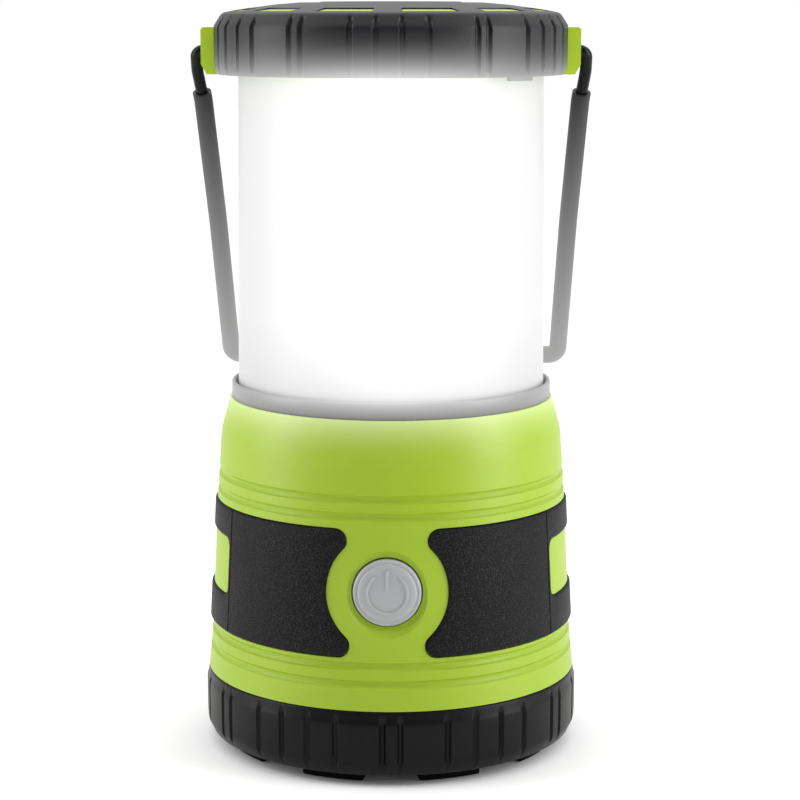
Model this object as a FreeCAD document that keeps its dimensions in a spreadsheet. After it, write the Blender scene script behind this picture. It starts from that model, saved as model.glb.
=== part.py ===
import FreeCAD, Part
import math
import os
import re
import Sketcher
from FreeCAD import Placement, Rotation, Vector

# Camping lantern for three D cells: ribbed foot cover, body with two grip pads
# and a power button, frosted globe, ribbed cap and a swinging wire bail.
# Millimetres. +Z is up, the front (with the button) faces -Y, and the origin
# is on the floor under the middle of the lantern. An azimuth is counted from
# the front towards +X.

os.makedirs("parts", exist_ok=True)
doc = FreeCAD.newDocument("CampingLantern")
sheet = doc.addObject("Spreadsheet::Sheet", "Sizes")
rows = []


def size(alias, value, note):
    """Write one driving dimension in the sheet: its name, number and meaning."""
    rows.append(alias)
    row = len(rows)
    sheet.set("A" + str(row), note)
    sheet.set("B" + str(row), str(value))
    sheet.setAlias("B" + str(row), alias)


# Foot cover: the ribbed black cup that closes the battery bay from below.
size("cover_rad", 47.72, "ribbed wall, outer radius")
size("cover_foot_rad", 46.2, "outer radius at the underside")
size("cover_bevel_rad", 47.5, "outer radius at the top of the bottom bevel")
size("cover_lip_rad", 47.1, "outer radius at the top edge")
size("cover_bottom", 2.7, "height of the underside")
size("cover_bevel_top", 5.2, "height where the bottom bevel ends")
size("cover_wall_low", 9.3, "height where the wall is widest")
size("cover_wall_high", 15.6, "height where the top chamfer starts")
size("cover_top", 18.7, "height of the top edge")
size("cover_bore", 45.2, "inner radius")
size("cover_floor", 5.6, "height of the floor beside the wall")
size("cover_core_rad", 34.0, "radius of the thick middle of the floor")
size("cover_core_top", 8.1, "height of the thick middle of the floor")
size("cover_slot_wide", 1.4, "width of the slits between the ribs")
size("cover_slot_deep", 0.75, "depth of the slits")
size("cover_slot_low", 4.6, "lower end of the slits")
size("cover_slot_high", 16.9, "upper end of the slits")
size("cover_pair_step", 2.6, "angle from a pair's middle to each slit")
size("cover_four_inner", 4.4, "angle from a four's middle to its inner slits")
size("cover_four_outer", 13.2, "angle from a four's middle to its outer slits")
size("cover_turn", 1.3, "azimuth of the middle of the front pair of slits")
size("lug_in", 43.9, "inner radius of the bayonet lugs")
size("lug_low", 9.8, "lower side of the lugs")
size("lug_high", 11.6, "upper side of the lugs")
size("lug_angle", 14.0, "angle each lug covers")

# Foot ring: soft ring with pads, let into the underside of the cover.
size("ring_in", 35.6, "foot ring, inner radius")
size("ring_out", 42.8, "foot ring, outer radius")
size("ring_low", 2.6, "underside of the web between the pads")
size("ring_high", 3.9, "top of the ring")
size("ring_seat", 4.0, "roof of the groove that holds the ring")
size("ring_gap", 0.2, "space beside the ring in its groove")
size("pad_angle", 21.0, "angle each foot pad covers")
size("pad_count", 9, "number of foot pads")

# Fold-out hanging hook in the underside.
size("hook_wire", 1.2, "hook wire, radius")
size("hook_half", 8.0, "half the distance between the hook's arms")
size("hook_pivot_y", 13.0, "distance of the hook's pivot behind the middle")
size("hook_pivot_z", 4.75, "height of the hook's pivot")
size("hook_end_y", 6.0, "distance of the round end's centre before the middle")
size("hook_pin_in", 3.0, "inner end of each turned-in tip")
size("hook_bend", 2.0, "bend radius of the hook")
size("nest_half", 10.4, "half the width of the hook's recess")
size("nest_front", 17.0, "recess, distance to its front edge")
size("nest_back", 16.6, "recess, distance to its back edge")
size("nest_roof", 6.7, "height of the recess roof")
size("lugblock_wide", 11.0, "pivot block, width")
size("lugblock_deep", 5.6, "pivot block, depth")
size("lugblock_low", 2.85, "pivot block, underside")
size("running_gap", 0.06, "radial clearance of a turning pin")

# Cover contacts.
size("cell_rad", 17.1, "D cell, radius")
size("cell_length", 60.0, "D cell, length of the can")
size("cell_nub_rad", 4.6, "D cell, radius of the plus nub")
size("cell_nub", 1.5, "D cell, height of the plus nub")
size("cell_ring", 20.3, "distance of the cells' axes from the middle")
size("cell_bottom", 12.2, "height of the cells' flat ends")
size("bridge_thick", 0.4, "contact plate, thickness")
size("bridge_pad", 8.4, "contact plate, radius under a spring")
size("bridge_mid", 15.0, "contact plate, radius of the middle")
size("leaf_half", 6.8, "contact spring, half its length")
size("leaf_wide", 8.0, "contact spring, width")
size("leaf_thick", 0.35, "contact spring, thickness")
size("leaf_top", 11.8, "contact spring, top of its arch")

# Body shell.
size("neck_rad", 44.7, "neck inside the cover, outer radius")
size("neck_bottom", 9.2, "lower end of the neck")
size("neck_bore", 41.8, "neck, inner radius")
size("shell_foot_rad", 47.1, "shell radius at the seam above the cover")
size("shell_foot", 19.0, "height of that seam")
size("shell_waist_rad", 46.1, "shell radius below the grip pads")
size("shell_waist", 29.9, "height of the waist")
size("shell_chest_rad", 44.4, "shell radius above the grip pads")
size("shell_chest", 64.4, "height where the grip zone ends")
size("shell_shoulder_rad", 43.25, "shell radius at the shoulder")
size("shell_shoulder", 80.6, "height of the shoulder")
size("shell_top_rad", 40.9, "shell radius at the top edge")
size("shell_top", 88.95, "height of the top edge")
size("shoulder_round", 14.0, "rounding of the shoulder")
size("bay_rad", 42.6, "battery bay, inner radius")
size("bay_low", 24.0, "height where the bay reaches its full radius")
size("bay_high", 60.0, "height where the bay starts to narrow")
size("bay_top_rad", 41.2, "inner radius of the upper bay")
size("bay_top", 66.0, "height where the upper bay starts")
size("seat_rad", 39.9, "bore for the collar")
size("seat_low", 85.2, "lower end of the collar's bore")
size("seat_cone", 83.9, "height where the upper bay starts to close in")
size("line_deep", 0.65, "depth of the ring lines round the shell")
size("line_tall", 1.45, "height of the ring lines")
size("line_soft", 0.35, "width and height of the soft edges of the ring lines")
size("line_a", 69.75, "lower edge of the top line")
size("line_b", 65.5, "lower edge of the second line")
size("line_c", 29.2, "lower edge of the third line")
size("line_d", 24.8, "lower edge of the bottom line")
size("notch_angle", 50.0, "angle of the neck's openings for the lugs")
size("notch_top", 12.3, "height of the neck's openings")
size("notch_rad", 43.5, "depth radius of the neck's openings")
size("seal_groove_rad", 42.9, "neck seal groove, floor radius")
size("seal_groove_low", 14.0, "neck seal groove, lower side")
size("seal_groove_high", 16.2, "neck seal groove, upper side")
size("neck_seal_rad", 43.95, "neck seal, middle radius")
size("neck_seal_wire", 0.95, "neck seal, section radius")
size("post_ring", 33.0, "distance of the roof posts from the middle")
size("post_rad", 3.2, "roof post, radius")
size("post_low", 63.5, "lower end of the roof posts")
size("post_high", 74.2, "upper end of the roof posts")
size("post_rib", 2.4, "thickness of the rib behind each post")

# Grip pads.
size("grip_low", 32.0, "grip pad, lower edge")
size("grip_high", 63.0, "grip pad, upper edge")
size("grip_low_rad", 46.68, "grip pad, outer radius near the lower edge")
size("grip_high_rad", 45.0, "grip pad, outer radius near the upper edge")
size("grip_thick", 1.7, "grip pad, thickness")
size("grip_seat", 0.1, "space under a grip pad")
size("grip_line", 0.3, "gap line round a grip pad")
size("grip_scoop", 15.1, "radius of the scoop round the button")
size("grip_nose", 2.7, "radius of the pad's round noses above and below the scoop")
size("grip_parting", 60.0, "azimuth of the parting lines in a pad")
size("parting_wide", 0.35, "width of the parting lines")
size("parting_deep", 0.3, "depth of the parting lines")
size("window_half", 21.6, "half the width of the window in a pad")
size("window_low", 41.0, "lower edge of the window")
size("window_high", 55.8, "upper edge of the window")
size("window_round", 2.5, "corner radius of the window")

# Power button and its switch.
size("button_mid", 47.8, "height of the button's middle")
size("button_rad", 8.25, "button, radius")
size("button_hole", 8.6, "hole for the button, radius")
size("dish_rad", 9.9, "dish round the button, radius half way up its slope")
size("dish_floor", 43.75, "distance of the dish floor from the middle")
size("dish_slope", 1.3, "dish, width of the slope round its floor")
size("button_face", 45.4, "distance of the button's dome from the middle")
size("button_rim", 44.85, "distance of the button's rim from the middle")
size("button_step_rad", 6.9, "radius where the rim steps up to the dome")
size("flange_rad", 9.8, "button flange behind the wall, radius")
size("flange_front", 40.9, "button flange, front face")
size("flange_back", 39.7, "button flange, back face")
size("stem_rad", 2.4, "button stem, radius")
size("stem_back", 36.5, "end of the button stem")
size("plunger_rad", 1.6, "switch plunger, radius")
size("plunger_front", 36.4, "switch plunger, front end")
size("plunger_back", 34.4, "switch plunger, back end")
size("switch_front", 35.0, "switch case, front")
size("switch_back", 31.5, "switch case, back")
size("switch_wide", 6.2, "switch case, width and height")
size("plate_front", 38.2, "retainer plate, front")
size("plate_back", 36.6, "retainer plate, back")
size("plate_wide", 32.0, "retainer plate, width")
size("plate_tall", 20.0, "retainer plate, height")
size("board_wide", 20.0, "switch board, width")
size("board_tall", 17.0, "switch board, height")
size("board_thick", 1.2, "circuit board thickness")
size("mark_rad", 5.3, "power mark, outer radius")
size("mark_wide", 0.8, "power mark, line width")
size("mark_high", 0.25, "power mark, height of the relief")

# Bay roof, boards and lamp.
size("roof_rad", 40.9, "bay roof, radius")
size("roof_low", 74.3, "bay roof, underside")
size("roof_high", 76.3, "bay roof, top")
size("rim_in", 36.3, "rim under the globe, inner radius")
size("rim_out", 39.4, "rim under the globe, outer radius")
size("rim_top", 84.0, "top of that rim")
size("rim_groove_in", 36.9, "seal groove in the rim, inner radius")
size("rim_groove_out", 38.9, "seal groove in the rim, outer radius")
size("rim_groove_floor", 82.6, "seal groove in the rim, floor")
size("globe_seal_rad", 37.9, "globe seal, middle radius")
size("globe_seal_wire", 0.8, "globe seal, section radius")
size("globe_seal_z", 83.5, "globe seal, height")
size("stand_ring", 27.0, "distance of the lamp posts from the middle")
size("stand_rad", 3.0, "lamp post, radius")
size("stand_top", 80.0, "top of the lamp posts")
size("sink_rad", 35.8, "heat sink, radius")
size("sink_top", 83.0, "heat sink, top")
size("fin_in", 22.0, "heat sink fin, inner end")
size("fin_out", 34.5, "heat sink fin, outer end")
size("fin_wide", 1.4, "heat sink fin, thickness")
size("fin_low", 77.4, "heat sink fin, lower edge")
size("fin_count", 12, "number of heat sink fins")
size("lamp_board_rad", 31.0, "lamp board, radius")
size("lamp_board_top", 84.6, "lamp board, top")
size("led_side", 5.0, "lamp chip, side")
size("led_tall", 1.0, "lamp chip, height")
size("led_ring", 17.0, "distance of the lamp chips from the middle")
size("lens_rad", 34.6, "lamp lens, radius")
size("lens_wall", 1.5, "lamp lens, thickness")
size("lens_side_top", 88.0, "lamp lens, top of its side")
size("lens_top", 92.0, "lamp lens, top")
size("lens_flat_rad", 14.0, "lamp lens, radius of its flat top")
size("driver_long", 34.0, "driver board, length")
size("driver_wide", 24.0, "driver board, width")
size("driver_low", 77.0, "driver board, underside")
size("lead_rad", 0.7, "insulated lead, radius")
size("lead_ring", 12.0, "distance of the lamp leads from the middle")
size("cage_wall", 0.9, "cell cage, wall thickness")
size("cage_gap", 0.3, "space between a cell and its cage")
size("cage_low", 12.6, "cell cage, lower end")
size("cage_high", 73.4, "cell cage, upper end")
size("screw_rad", 1.2, "screw shank, radius")
size("screw_head", 2.4, "screw head, radius")
size("screw_head_tall", 1.6, "screw head, height")
size("screw_slack", 0.05, "radial space round a screw shank")

# Collar round the foot of the globe.
size("collar_rad", 40.5, "collar, outer radius")
size("collar_top", 93.1, "collar, top")
size("collar_lip", 39.6, "collar, inner radius of the lip")
size("collar_in", 39.2, "collar, inner radius of the spigot")
size("collar_spigot", 39.8, "collar, outer radius of the spigot")
size("collar_low", 85.6, "collar, lower end")

# Globe.
size("globe_low", 84.6, "globe, lower end")
size("globe_low_rad", 38.8, "globe, outer radius at the collar")
size("globe_high_rad", 38.1, "globe, outer radius at the cap")
size("globe_high", 179.5, "globe, upper end")
size("globe_wall", 2.0, "globe, wall thickness")

# Cap: soft ribbed cover over a hard core.
size("cap_rad", 44.15, "cap skirt, outer radius")
size("cap_low", 169.9, "cap skirt, lower edge")
size("cap_low_rad", 43.4, "cap skirt, radius at the lower edge")
size("cap_round_top", 172.0, "height where the lower edge starts to round in")
size("cap_chamfer_low", 181.7, "height where the top chamfer starts")
size("cap_corner_rad", 41.9, "radius at the top of the chamfer")
size("cap_corner", 185.0, "height at the top of the chamfer")
size("cap_flat_rad", 23.0, "radius of the flat top")
size("cap_flat", 187.45, "height of the flat top")
size("cap_badge_rad", 17.6, "radius of the raised blank disc")
size("cap_top", 187.65, "height of the raised blank disc")
size("cap_skin", 2.35, "thickness of the soft cover")
size("cap_slot_wide", 1.5, "width of the slits in the skirt")
size("cap_slot_deep", 0.9, "depth of the slits")
size("cap_slot_low", 170.6, "lower end of the slits")
size("cap_slot_high", 183.2, "upper end of the slits")
size("cap_pair_step", 2.0, "angle from a pair's middle to each slit")
size("cap_four_inner", 4.05, "angle from a four's middle to its inner slits")
size("cap_four_outer", 12.2, "angle from a four's middle to its outer slits")
size("cap_turn", 0.6, "azimuth of the middle of the front four slits")
size("accent_in", 35.2, "windows in the top, inner radius")
size("accent_out", 40.0, "windows in the top, outer radius")
size("accent_angle", 20.0, "windows in the top, angle")
size("accent_count", 12, "number of windows in the top")
size("accent_slack", 0.15, "gap between a window and the core's tile")
size("accent_drop", 0.15, "tiles lie this much below the cover")
size("core_gap", 0.1, "gap between cover and core")
size("core_low", 170.4, "core, lower edge")
size("core_bore", 38.35, "core, bore for the globe")
size("core_stop", 36.0, "core, radius of the stop above the globe")
size("core_stop_low", 179.8, "core, height of that stop")
size("core_roof", 183.1, "core, underside of its roof")
size("boss_face", 46.95, "distance of the bail bosses' faces")
size("boss_chamfer_wide", 1.4, "width of the chamfer under a boss")
size("boss_chamfer_tall", 2.5, "height of that chamfer")
size("boss_half", 6.3, "bail boss, half its width")
size("boss_low", 169.9, "bail boss, underside")
size("boss_high", 181.4, "bail boss, top")
size("boss_slack", 0.2, "gap between a boss and the soft cover")
size("pivot_z", 175.6, "height of the bail's pivots")
size("tab_front", 42.0, "thumb tab, first azimuth")
size("tab_angle", 10.4, "thumb tab, angle")
size("tab_low", 169.0, "thumb tab, underside")
size("cone_rad", 35.8, "cap reflector, radius")
size("cone_tip", 170.5, "cap reflector, height of its tip")
size("cone_flange_rad", 26.0, "cap reflector, radius where the flange starts")
size("cone_flange_low", 179.6, "cap reflector, underside of the flange")
size("cone_thick", 1.4, "cap reflector, thickness")
size("cap_screw_ring", 31.0, "distance of the cap screws from the middle")

# Bail.
size("bail_wire_rad", 1.5, "bail wire, radius")
size("bail_tip", 42.5, "distance of the wire's turned-in ends")
size("bail_out", 48.75, "distance of the wire beside the boss")
size("bail_bend", 1.9, "bend radius beside the boss")
size("bail_drop", 5.5, "length of the straight stretch below the pivot")
size("bail_knee", 14.0, "distance of the knee from the pivot")
size("bail_knee_x", 47.7, "half width at the knee")
size("bail_belly", 50.0, "distance of the arm's middle from the pivot")
size("bail_belly_x", 45.97, "half width at the arm's middle")
size("bail_corner_x", 44.6, "half width at the corners")
size("bail_reach", 93.7, "distance of the cross bar from the pivot")
size("bail_corner_bend", 2.7, "bend radius of the corners")
size("bail_lean", 27.7, "angle of the hanging bail from straight down")
size("sleeve_rad", 2.35, "grip sleeve, radius")
size("sleeve_gap", 0.05, "space between sleeve and wire")
size("sleeve_start", 11.8, "distance of the sleeve's ends from the pivot")

doc.recompute()

KEPT_WORDS = ("cos", "sin", "tan", "sqrt")
nodes = []


def bound(text):
    """Turn a formula in the sheet's names into an expression."""
    def cell(match):
        word = match.group(0)
        if word in KEPT_WORDS:
            return word
        return "Sizes." + word
    return re.sub(r"[a-z][a-z_]*[a-z]", cell, text)


def calc(text):
    """Number that a formula in the sheet's names gives now."""
    return float(sheet.evalExpression(bound(text)))


def keep(thing, label):
    """Name a finished sub-part; its label is also its file's name."""
    thing.Label = label
    nodes.append(thing)
    return thing


def new_body(name):
    return doc.addObject("PartDesign::Body", name)


def sketch_on(body, role, turn=0.0, out="0"):
    """Sketch on an origin plane, turned about the upright axis, then moved out."""
    sketch = body.newObject("Sketcher::SketchObject", body.Name + "_sketch")
    plane = [part for part in body.Origin.OriginFeatures if part.Role == role][0]
    sketch.AttachmentSupport = [(plane, "")]
    sketch.MapMode = "FlatFace"
    spin = Rotation(Vector(0, 1, 0), turn)
    sketch.AttachmentOffset = Placement(spin.multVec(Vector(0, 0, calc(out))), spin)
    return sketch


def tie(sketch, geometry, corner, x, y):
    """Hold one point of a sketch at a place given by two formulas."""
    for kind, formula in (("DistanceX", x), ("DistanceY", y)):
        value = calc(formula)
        if abs(value) < 1e-9:
            axis = -2 if kind == "DistanceX" else -1
            rule = Sketcher.Constraint("PointOnObject", geometry, corner, axis)
            sketch.addConstraint(rule)
        else:
            rule = Sketcher.Constraint(kind, -1, 1, geometry, corner, value)
            number = sketch.addConstraint(rule)
            sketch.setExpression("Constraints[" + str(number) + "]", bound(formula))


def outline(sketch, corners):
    """Closed polygon whose corners are held by formulas."""
    first = sketch.GeometryCount
    spots = [Vector(calc(x), calc(y), 0) for x, y in corners]
    count = len(corners)
    lines = []
    for index in range(count):
        lines.append(Part.LineSegment(spots[index], spots[(index + 1) % count]))
    sketch.addGeometry(lines)
    joins = []
    for index in range(count):
        after = first + (index + 1) % count
        joins.append(Sketcher.Constraint("Coincident", first + index, 2, after, 1))
    sketch.addConstraint(joins)
    for index, (x, y) in enumerate(corners):
        tie(sketch, first + index, 1, x, y)


def ring(sketch, x, y, radius):
    """Circle held by formulas."""
    spot = Vector(calc(x), calc(y), 0)
    number = sketch.addGeometry(Part.Circle(spot, Vector(0, 0, 1), calc(radius)))
    tie(sketch, number, 3, x, y)
    rule = sketch.addConstraint(Sketcher.Constraint("Radius", number, calc(radius)))
    sketch.setExpression("Constraints[" + str(rule) + "]", bound(radius))


def block_corners(left, right, low, high):
    return [(left, low), (right, low), (right, high), (left, high)]


def feature(body, kind, sketch, **settings):
    """PartDesign feature on a sketch; text settings are formulas."""
    step = body.newObject("PartDesign::" + kind, body.Name + "_" + kind.lower())
    step.Profile = sketch
    if kind in ("Revolution", "Groove"):
        step.ReferenceAxis = (sketch, [settings.pop("axis", "V_Axis")])
    for name, value in settings.items():
        if isinstance(value, str) and name in ("Length", "Angle"):
            setattr(step, name, calc(value))
            step.setExpression(name, bound(value))
        else:
            setattr(step, name, value)
    body.Tip = step
    return step


def around(body, steps, count):
    """Repeat features evenly round the upright axis."""
    pattern = body.newObject("PartDesign::PolarPattern", body.Name + "_pattern")
    pattern.Originals = steps
    axis = [part for part in body.Origin.OriginFeatures if part.Role == "Z_Axis"][0]
    pattern.Axis = (axis, [""])
    pattern.Angle = 360
    pattern.Occurrences = count
    body.Tip = pattern
    return pattern


def turned(name, corners):
    """Body turned round the upright axis from one outline."""
    body = new_body(name)
    sketch = sketch_on(body, "XZ_Plane")
    outline(sketch, corners)
    feature(body, "Revolution", sketch, Angle=360)
    return body


def round_edges(body, radius, chosen):
    """Round the edges of a body that the test picks."""
    doc.recompute()
    tip = body.Tip
    names = []
    for index, edge in enumerate(tip.Shape.Edges):
        if chosen(edge):
            names.append("Edge" + str(index + 1))
    step = body.newObject("PartDesign::Fillet", body.Name + "_round")
    step.Base = (tip, names)
    step.Radius = calc(radius)
    step.setExpression("Radius", bound(radius))
    body.Tip = step
    return step


def at_height(low, high, radius_low, radius_high):
    """Test for round edges that lie level between two heights and radii."""
    def chosen(edge):
        box = edge.BoundBox
        level = box.ZMax - box.ZMin < 0.01
        wide = box.XMax
        inside = calc(low) < box.ZMin < calc(high)
        return level and inside and calc(radius_low) < wide < calc(radius_high)
    return chosen


def slits(body, turns, count, wide, deep, low, high, wall):
    """Upright slits with round ends, cut into a round wall and repeated."""
    for turn in turns:
        sketch = sketch_on(body, "XZ_Plane", turn, wall + " + 2")
        half = calc(wide) / 2
        bottom = calc(low) + half
        top = calc(high) - half
        sketch.addGeometry(Part.LineSegment(Vector(-half, top, 0), Vector(-half, bottom, 0)))
        sketch.addGeometry(Part.LineSegment(Vector(half, bottom, 0), Vector(half, top, 0)))
        upper = Part.Circle(Vector(0, top, 0), Vector(0, 0, 1), half)
        lower = Part.Circle(Vector(0, bottom, 0), Vector(0, 0, 1), half)
        sketch.addGeometry(Part.ArcOfCircle(upper, 0, math.pi))
        sketch.addGeometry(Part.ArcOfCircle(lower, math.pi, 2 * math.pi))
        sketch.addConstraint([
            Sketcher.Constraint("Tangent", 2, 1, 1, 2),
            Sketcher.Constraint("Tangent", 2, 2, 0, 1),
            Sketcher.Constraint("Tangent", 3, 1, 0, 2),
            Sketcher.Constraint("Tangent", 3, 2, 1, 1),
        ])
        tie(sketch, 2, 3, "0", high + " - " + wide + " / 2")
        tie(sketch, 3, 3, "0", low + " + " + wide + " / 2")
        number = sketch.addConstraint(Sketcher.Constraint("Radius", 2, half))
        sketch.setExpression("Constraints[" + str(number) + "]", bound(wide + " / 2"))
        slit = feature(body, "Pocket", sketch, Length="2 + " + deep)
        around(body, [slit], count)


def place(thing, x, y, z):
    """Bind a primitive's position to formulas."""
    for letter, formula in (("x", x), ("y", y), ("z", z)):
        setattr(thing.Placement.Base, letter, calc(formula))
        thing.setExpression("Placement.Base." + letter, bound(formula))


def rod(radius, length, x="0", y="0", z="0", axis=(0, 0, 1)):
    """Cylinder that starts at a point and runs along an axis."""
    thing = doc.addObject("Part::Cylinder", "Rod")
    thing.setExpression("Radius", bound(radius))
    thing.setExpression("Height", bound(length))
    thing.Placement = Placement(Vector(), Rotation(Vector(0, 0, 1), Vector(*axis)))
    place(thing, x, y, z)
    return thing


def brick(long, deep, tall, x="0", y="0", z="0"):
    """Box centred on x and y, standing on z."""
    thing = doc.addObject("Part::Box", "Brick")
    thing.setExpression("Length", bound(long))
    thing.setExpression("Width", bound(deep))
    thing.setExpression("Height", bound(tall))
    place(thing, x + " - (" + long + ") / 2", y + " - (" + deep + ") / 2", z)
    return thing


def fused(things):
    union = doc.addObject("Part::MultiFuse", "Union")
    union.Shapes = things
    return union


def less(base, tools):
    """Base with the tools cut away."""
    cut = doc.addObject("Part::Cut", "Cut")
    cut.Base = base
    cut.Tool = fused(tools) if len(tools) > 1 else tools[0]
    return cut


def group(things):
    """Several separate solids in one sub-part."""
    bundle = doc.addObject("Part::Compound", "Set")
    bundle.Links = things
    return bundle


def spots_round(radius, azimuths):
    """Formulas for points on a circle round the upright axis."""
    spots = []
    for azimuth in azimuths:
        x = radius + " * " + str(round(math.sin(math.radians(azimuth)), 6))
        y = "-1 * " + radius + " * " + str(round(math.cos(math.radians(azimuth)), 6))
        spots.append((x, y))
    return spots


def bent_path(points, radii):
    """Wire of straight runs joined by tangent arcs at the inner points."""
    edges = []
    start = points[0]
    for index in range(1, len(points) - 1):
        corner = points[index]
        into = (points[index - 1] - corner).normalize()
        away = (points[index + 1] - corner).normalize()
        half = into.getAngle(away) / 2
        reach = radii[index - 1] / math.tan(half)
        middle = (into + away).normalize()
        depth = radii[index - 1] / math.sin(half) - radii[index - 1]
        enter = corner + into * reach
        leave = corner + away * reach
        edges.append(Part.makeLine(start, enter))
        edges.append(Part.Arc(enter, corner + middle * depth, leave).toShape())
        start = leave
    edges.append(Part.makeLine(start, points[-1]))
    return Part.Wire(edges)


def swept(path, radius):
    """Round bar along a path."""
    start = path.Edges[0].valueAt(path.Edges[0].FirstParameter)
    toward = path.Edges[0].tangentAt(path.Edges[0].FirstParameter)
    section = Part.Wire([Part.makeCircle(radius, start, toward)])
    return path.makePipeShell([section], True, True)


def shaped(label, shape, spot=None):
    """Sub-part whose shape Part's own functions make."""
    thing = doc.addObject("Part::Feature", label)
    thing.Shape = shape
    thing.Placement = Placement(spot or Vector(), Rotation())
    return keep(thing, label)


CELL_AZIMUTHS = (60, 180, 300)
POST_AZIMUTHS = (0, 120, 240)

# ---------------------------------------------------------------- foot cover
# Ribbed cup, open at the top. The underside has a groove for the foot ring
# and a recess for the folded hook; three lugs inside lock it to the neck.
cover = turned("base_cover", [
    ("0", "cover_bottom"),
    ("ring_in - ring_gap", "cover_bottom"),
    ("ring_in - ring_gap", "ring_seat"),
    ("ring_out + ring_gap", "ring_seat"),
    ("ring_out + ring_gap", "cover_bottom"),
    ("cover_foot_rad", "cover_bottom"),
    ("cover_bevel_rad", "cover_bevel_top"),
    ("cover_rad", "cover_wall_low"),
    ("cover_rad", "cover_wall_high"),
    ("cover_lip_rad", "cover_top"),
    ("cover_bore", "cover_top"),
    ("cover_bore", "cover_floor"),
    ("cover_core_rad", "cover_floor"),
    ("cover_core_rad", "cover_core_top"),
    ("0", "cover_core_top"),
])
lug = sketch_on(cover, "XZ_Plane", -60.0)
outline(lug, block_corners("lug_in", "cover_bore + 0.5", "lug_low", "lug_high"))
lug_turn = feature(cover, "Revolution", lug, Angle="lug_angle", Midplane=True)
around(cover, [lug_turn], 3)
nest = sketch_on(cover, "XY_Plane", 0.0, "cover_bottom")
outline(nest, block_corners("-nest_half", "nest_half", "-nest_front", "nest_back"))
feature(cover, "Pocket", nest, Length="nest_roof - cover_bottom", Reversed=True)
pair = calc("cover_pair_step")
inner = calc("cover_four_inner")
outer = calc("cover_four_outer")
cover_turns = (-pair, pair, 30 - outer, 30 - inner, 30 + inner, 30 + outer)
cover_turns = [turn + calc("cover_turn") for turn in cover_turns]
slits(cover, cover_turns, 6, "cover_slot_wide", "cover_slot_deep", "cover_slot_low",
      "cover_slot_high", "cover_rad")
keep(cover, "base_cover")

# Soft ring in the underside with nine pads that the lantern stands on.
feet = turned("foot_ring", block_corners("ring_in", "ring_out", "ring_low", "ring_high"))
pad = sketch_on(feet, "XZ_Plane", calc("cover_turn") - 70)
outline(pad, [
    ("ring_in + 0.6", "0"),
    ("ring_out - 0.4", "0"),
    ("ring_out", "0.4"),
    ("ring_out", "ring_low + 0.3"),
    ("ring_in", "ring_low + 0.3"),
    ("ring_in", "0.6"),
])
pad_turn = feature(feet, "Revolution", pad, Angle="pad_angle", Midplane=True)
around(feet, [pad_turn], int(calc("pad_count")))
keep(feet, "foot_ring")

# Pivot block of the hook, with a bore along X for the wire's two tips.
block = brick("lugblock_wide", "lugblock_deep", "nest_roof - lugblock_low",
              "0", "hook_pivot_y", "lugblock_low")
block_bore = rod("hook_wire + running_gap", "lugblock_wide + 2",
                 "-lugblock_wide / 2 - 1", "hook_pivot_y", "hook_pivot_z", (1, 0, 0))
keep(less(block, [block_bore]), "hook_block")

# Hook: a wire loop whose tips turn in towards each other in the block.
half = calc("hook_half")
pivot_y = calc("hook_pivot_y")
end_y = -calc("hook_end_y")
level = calc("hook_pivot_z")
tip = calc("hook_pin_in")
hook_line = bent_path(
    [
        Vector(-tip, pivot_y, level),
        Vector(-half, pivot_y, level),
        Vector(-half, end_y - half * 0.9, level),
        Vector(half, end_y - half * 0.9, level),
        Vector(half, pivot_y, level),
        Vector(tip, pivot_y, level),
    ],
    [calc("hook_bend"), half * 0.95, half * 0.95, calc("hook_bend")],
)
shaped("base_hook", swept(hook_line, calc("hook_wire")))

# Plate that joins the three contact springs, and the arched leaf springs on it.
bridge = [rod("bridge_mid", "bridge_thick", "0", "0", "cover_core_top")]
for x, y in spots_round("cell_ring", CELL_AZIMUTHS):
    bridge.append(rod("bridge_pad", "bridge_thick", x, y, "cover_core_top"))
keep(fused(bridge), "spring_plate")

leaf = new_body("contact_springs")
arch = sketch_on(leaf, "XZ_Plane", -30.0)
outline(arch, [
    ("cell_ring - leaf_half", "cover_core_top + bridge_thick"),
    ("cell_ring - leaf_half + 1", "cover_core_top + bridge_thick"),
    ("cell_ring", "leaf_top - leaf_thick - 0.1"),
    ("cell_ring + leaf_half - 1", "cover_core_top + bridge_thick"),
    ("cell_ring + leaf_half", "cover_core_top + bridge_thick"),
    ("cell_ring + 0.6", "leaf_top"),
    ("cell_ring - 0.6", "leaf_top"),
])
arch_pad = feature(leaf, "Pad", arch, Length="leaf_wide", Midplane=True)
around(leaf, [arch_pad], 3)
keep(leaf, "contact_springs")

# Rubber ring in the neck's groove.
neck_seal = doc.addObject("Part::Torus", "NeckSeal")
neck_seal.setExpression("Radius1", bound("neck_seal_rad"))
neck_seal.setExpression("Radius2", bound("neck_seal_wire"))
place(neck_seal, "0", "0", "(seal_groove_low + seal_groove_high) / 2")
keep(neck_seal, "cover_seal")

# ---------------------------------------------------------------- body shell
# One moulding: neck for the cover, cone-shaped wall with ring lines, rounded
# shoulder and a bore at the top for the collar.


def wall_rad(height):
    """Formula for the shell's outer radius at a height."""
    if calc(height) < calc("shell_waist"):
        ends = ("shell_foot_rad", "shell_foot", "shell_waist_rad", "shell_waist")
    elif calc(height) < calc("shell_chest"):
        ends = ("shell_waist_rad", "shell_waist", "shell_chest_rad", "shell_chest")
    else:
        ends = ("shell_chest_rad", "shell_chest", "shell_shoulder_rad", "shell_shoulder")
    slope = "(" + ends[2] + " - " + ends[0] + ") / (" + ends[3] + " - " + ends[1] + ")"
    return ends[0] + " + (" + height + " - " + ends[1] + ") * " + slope


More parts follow.
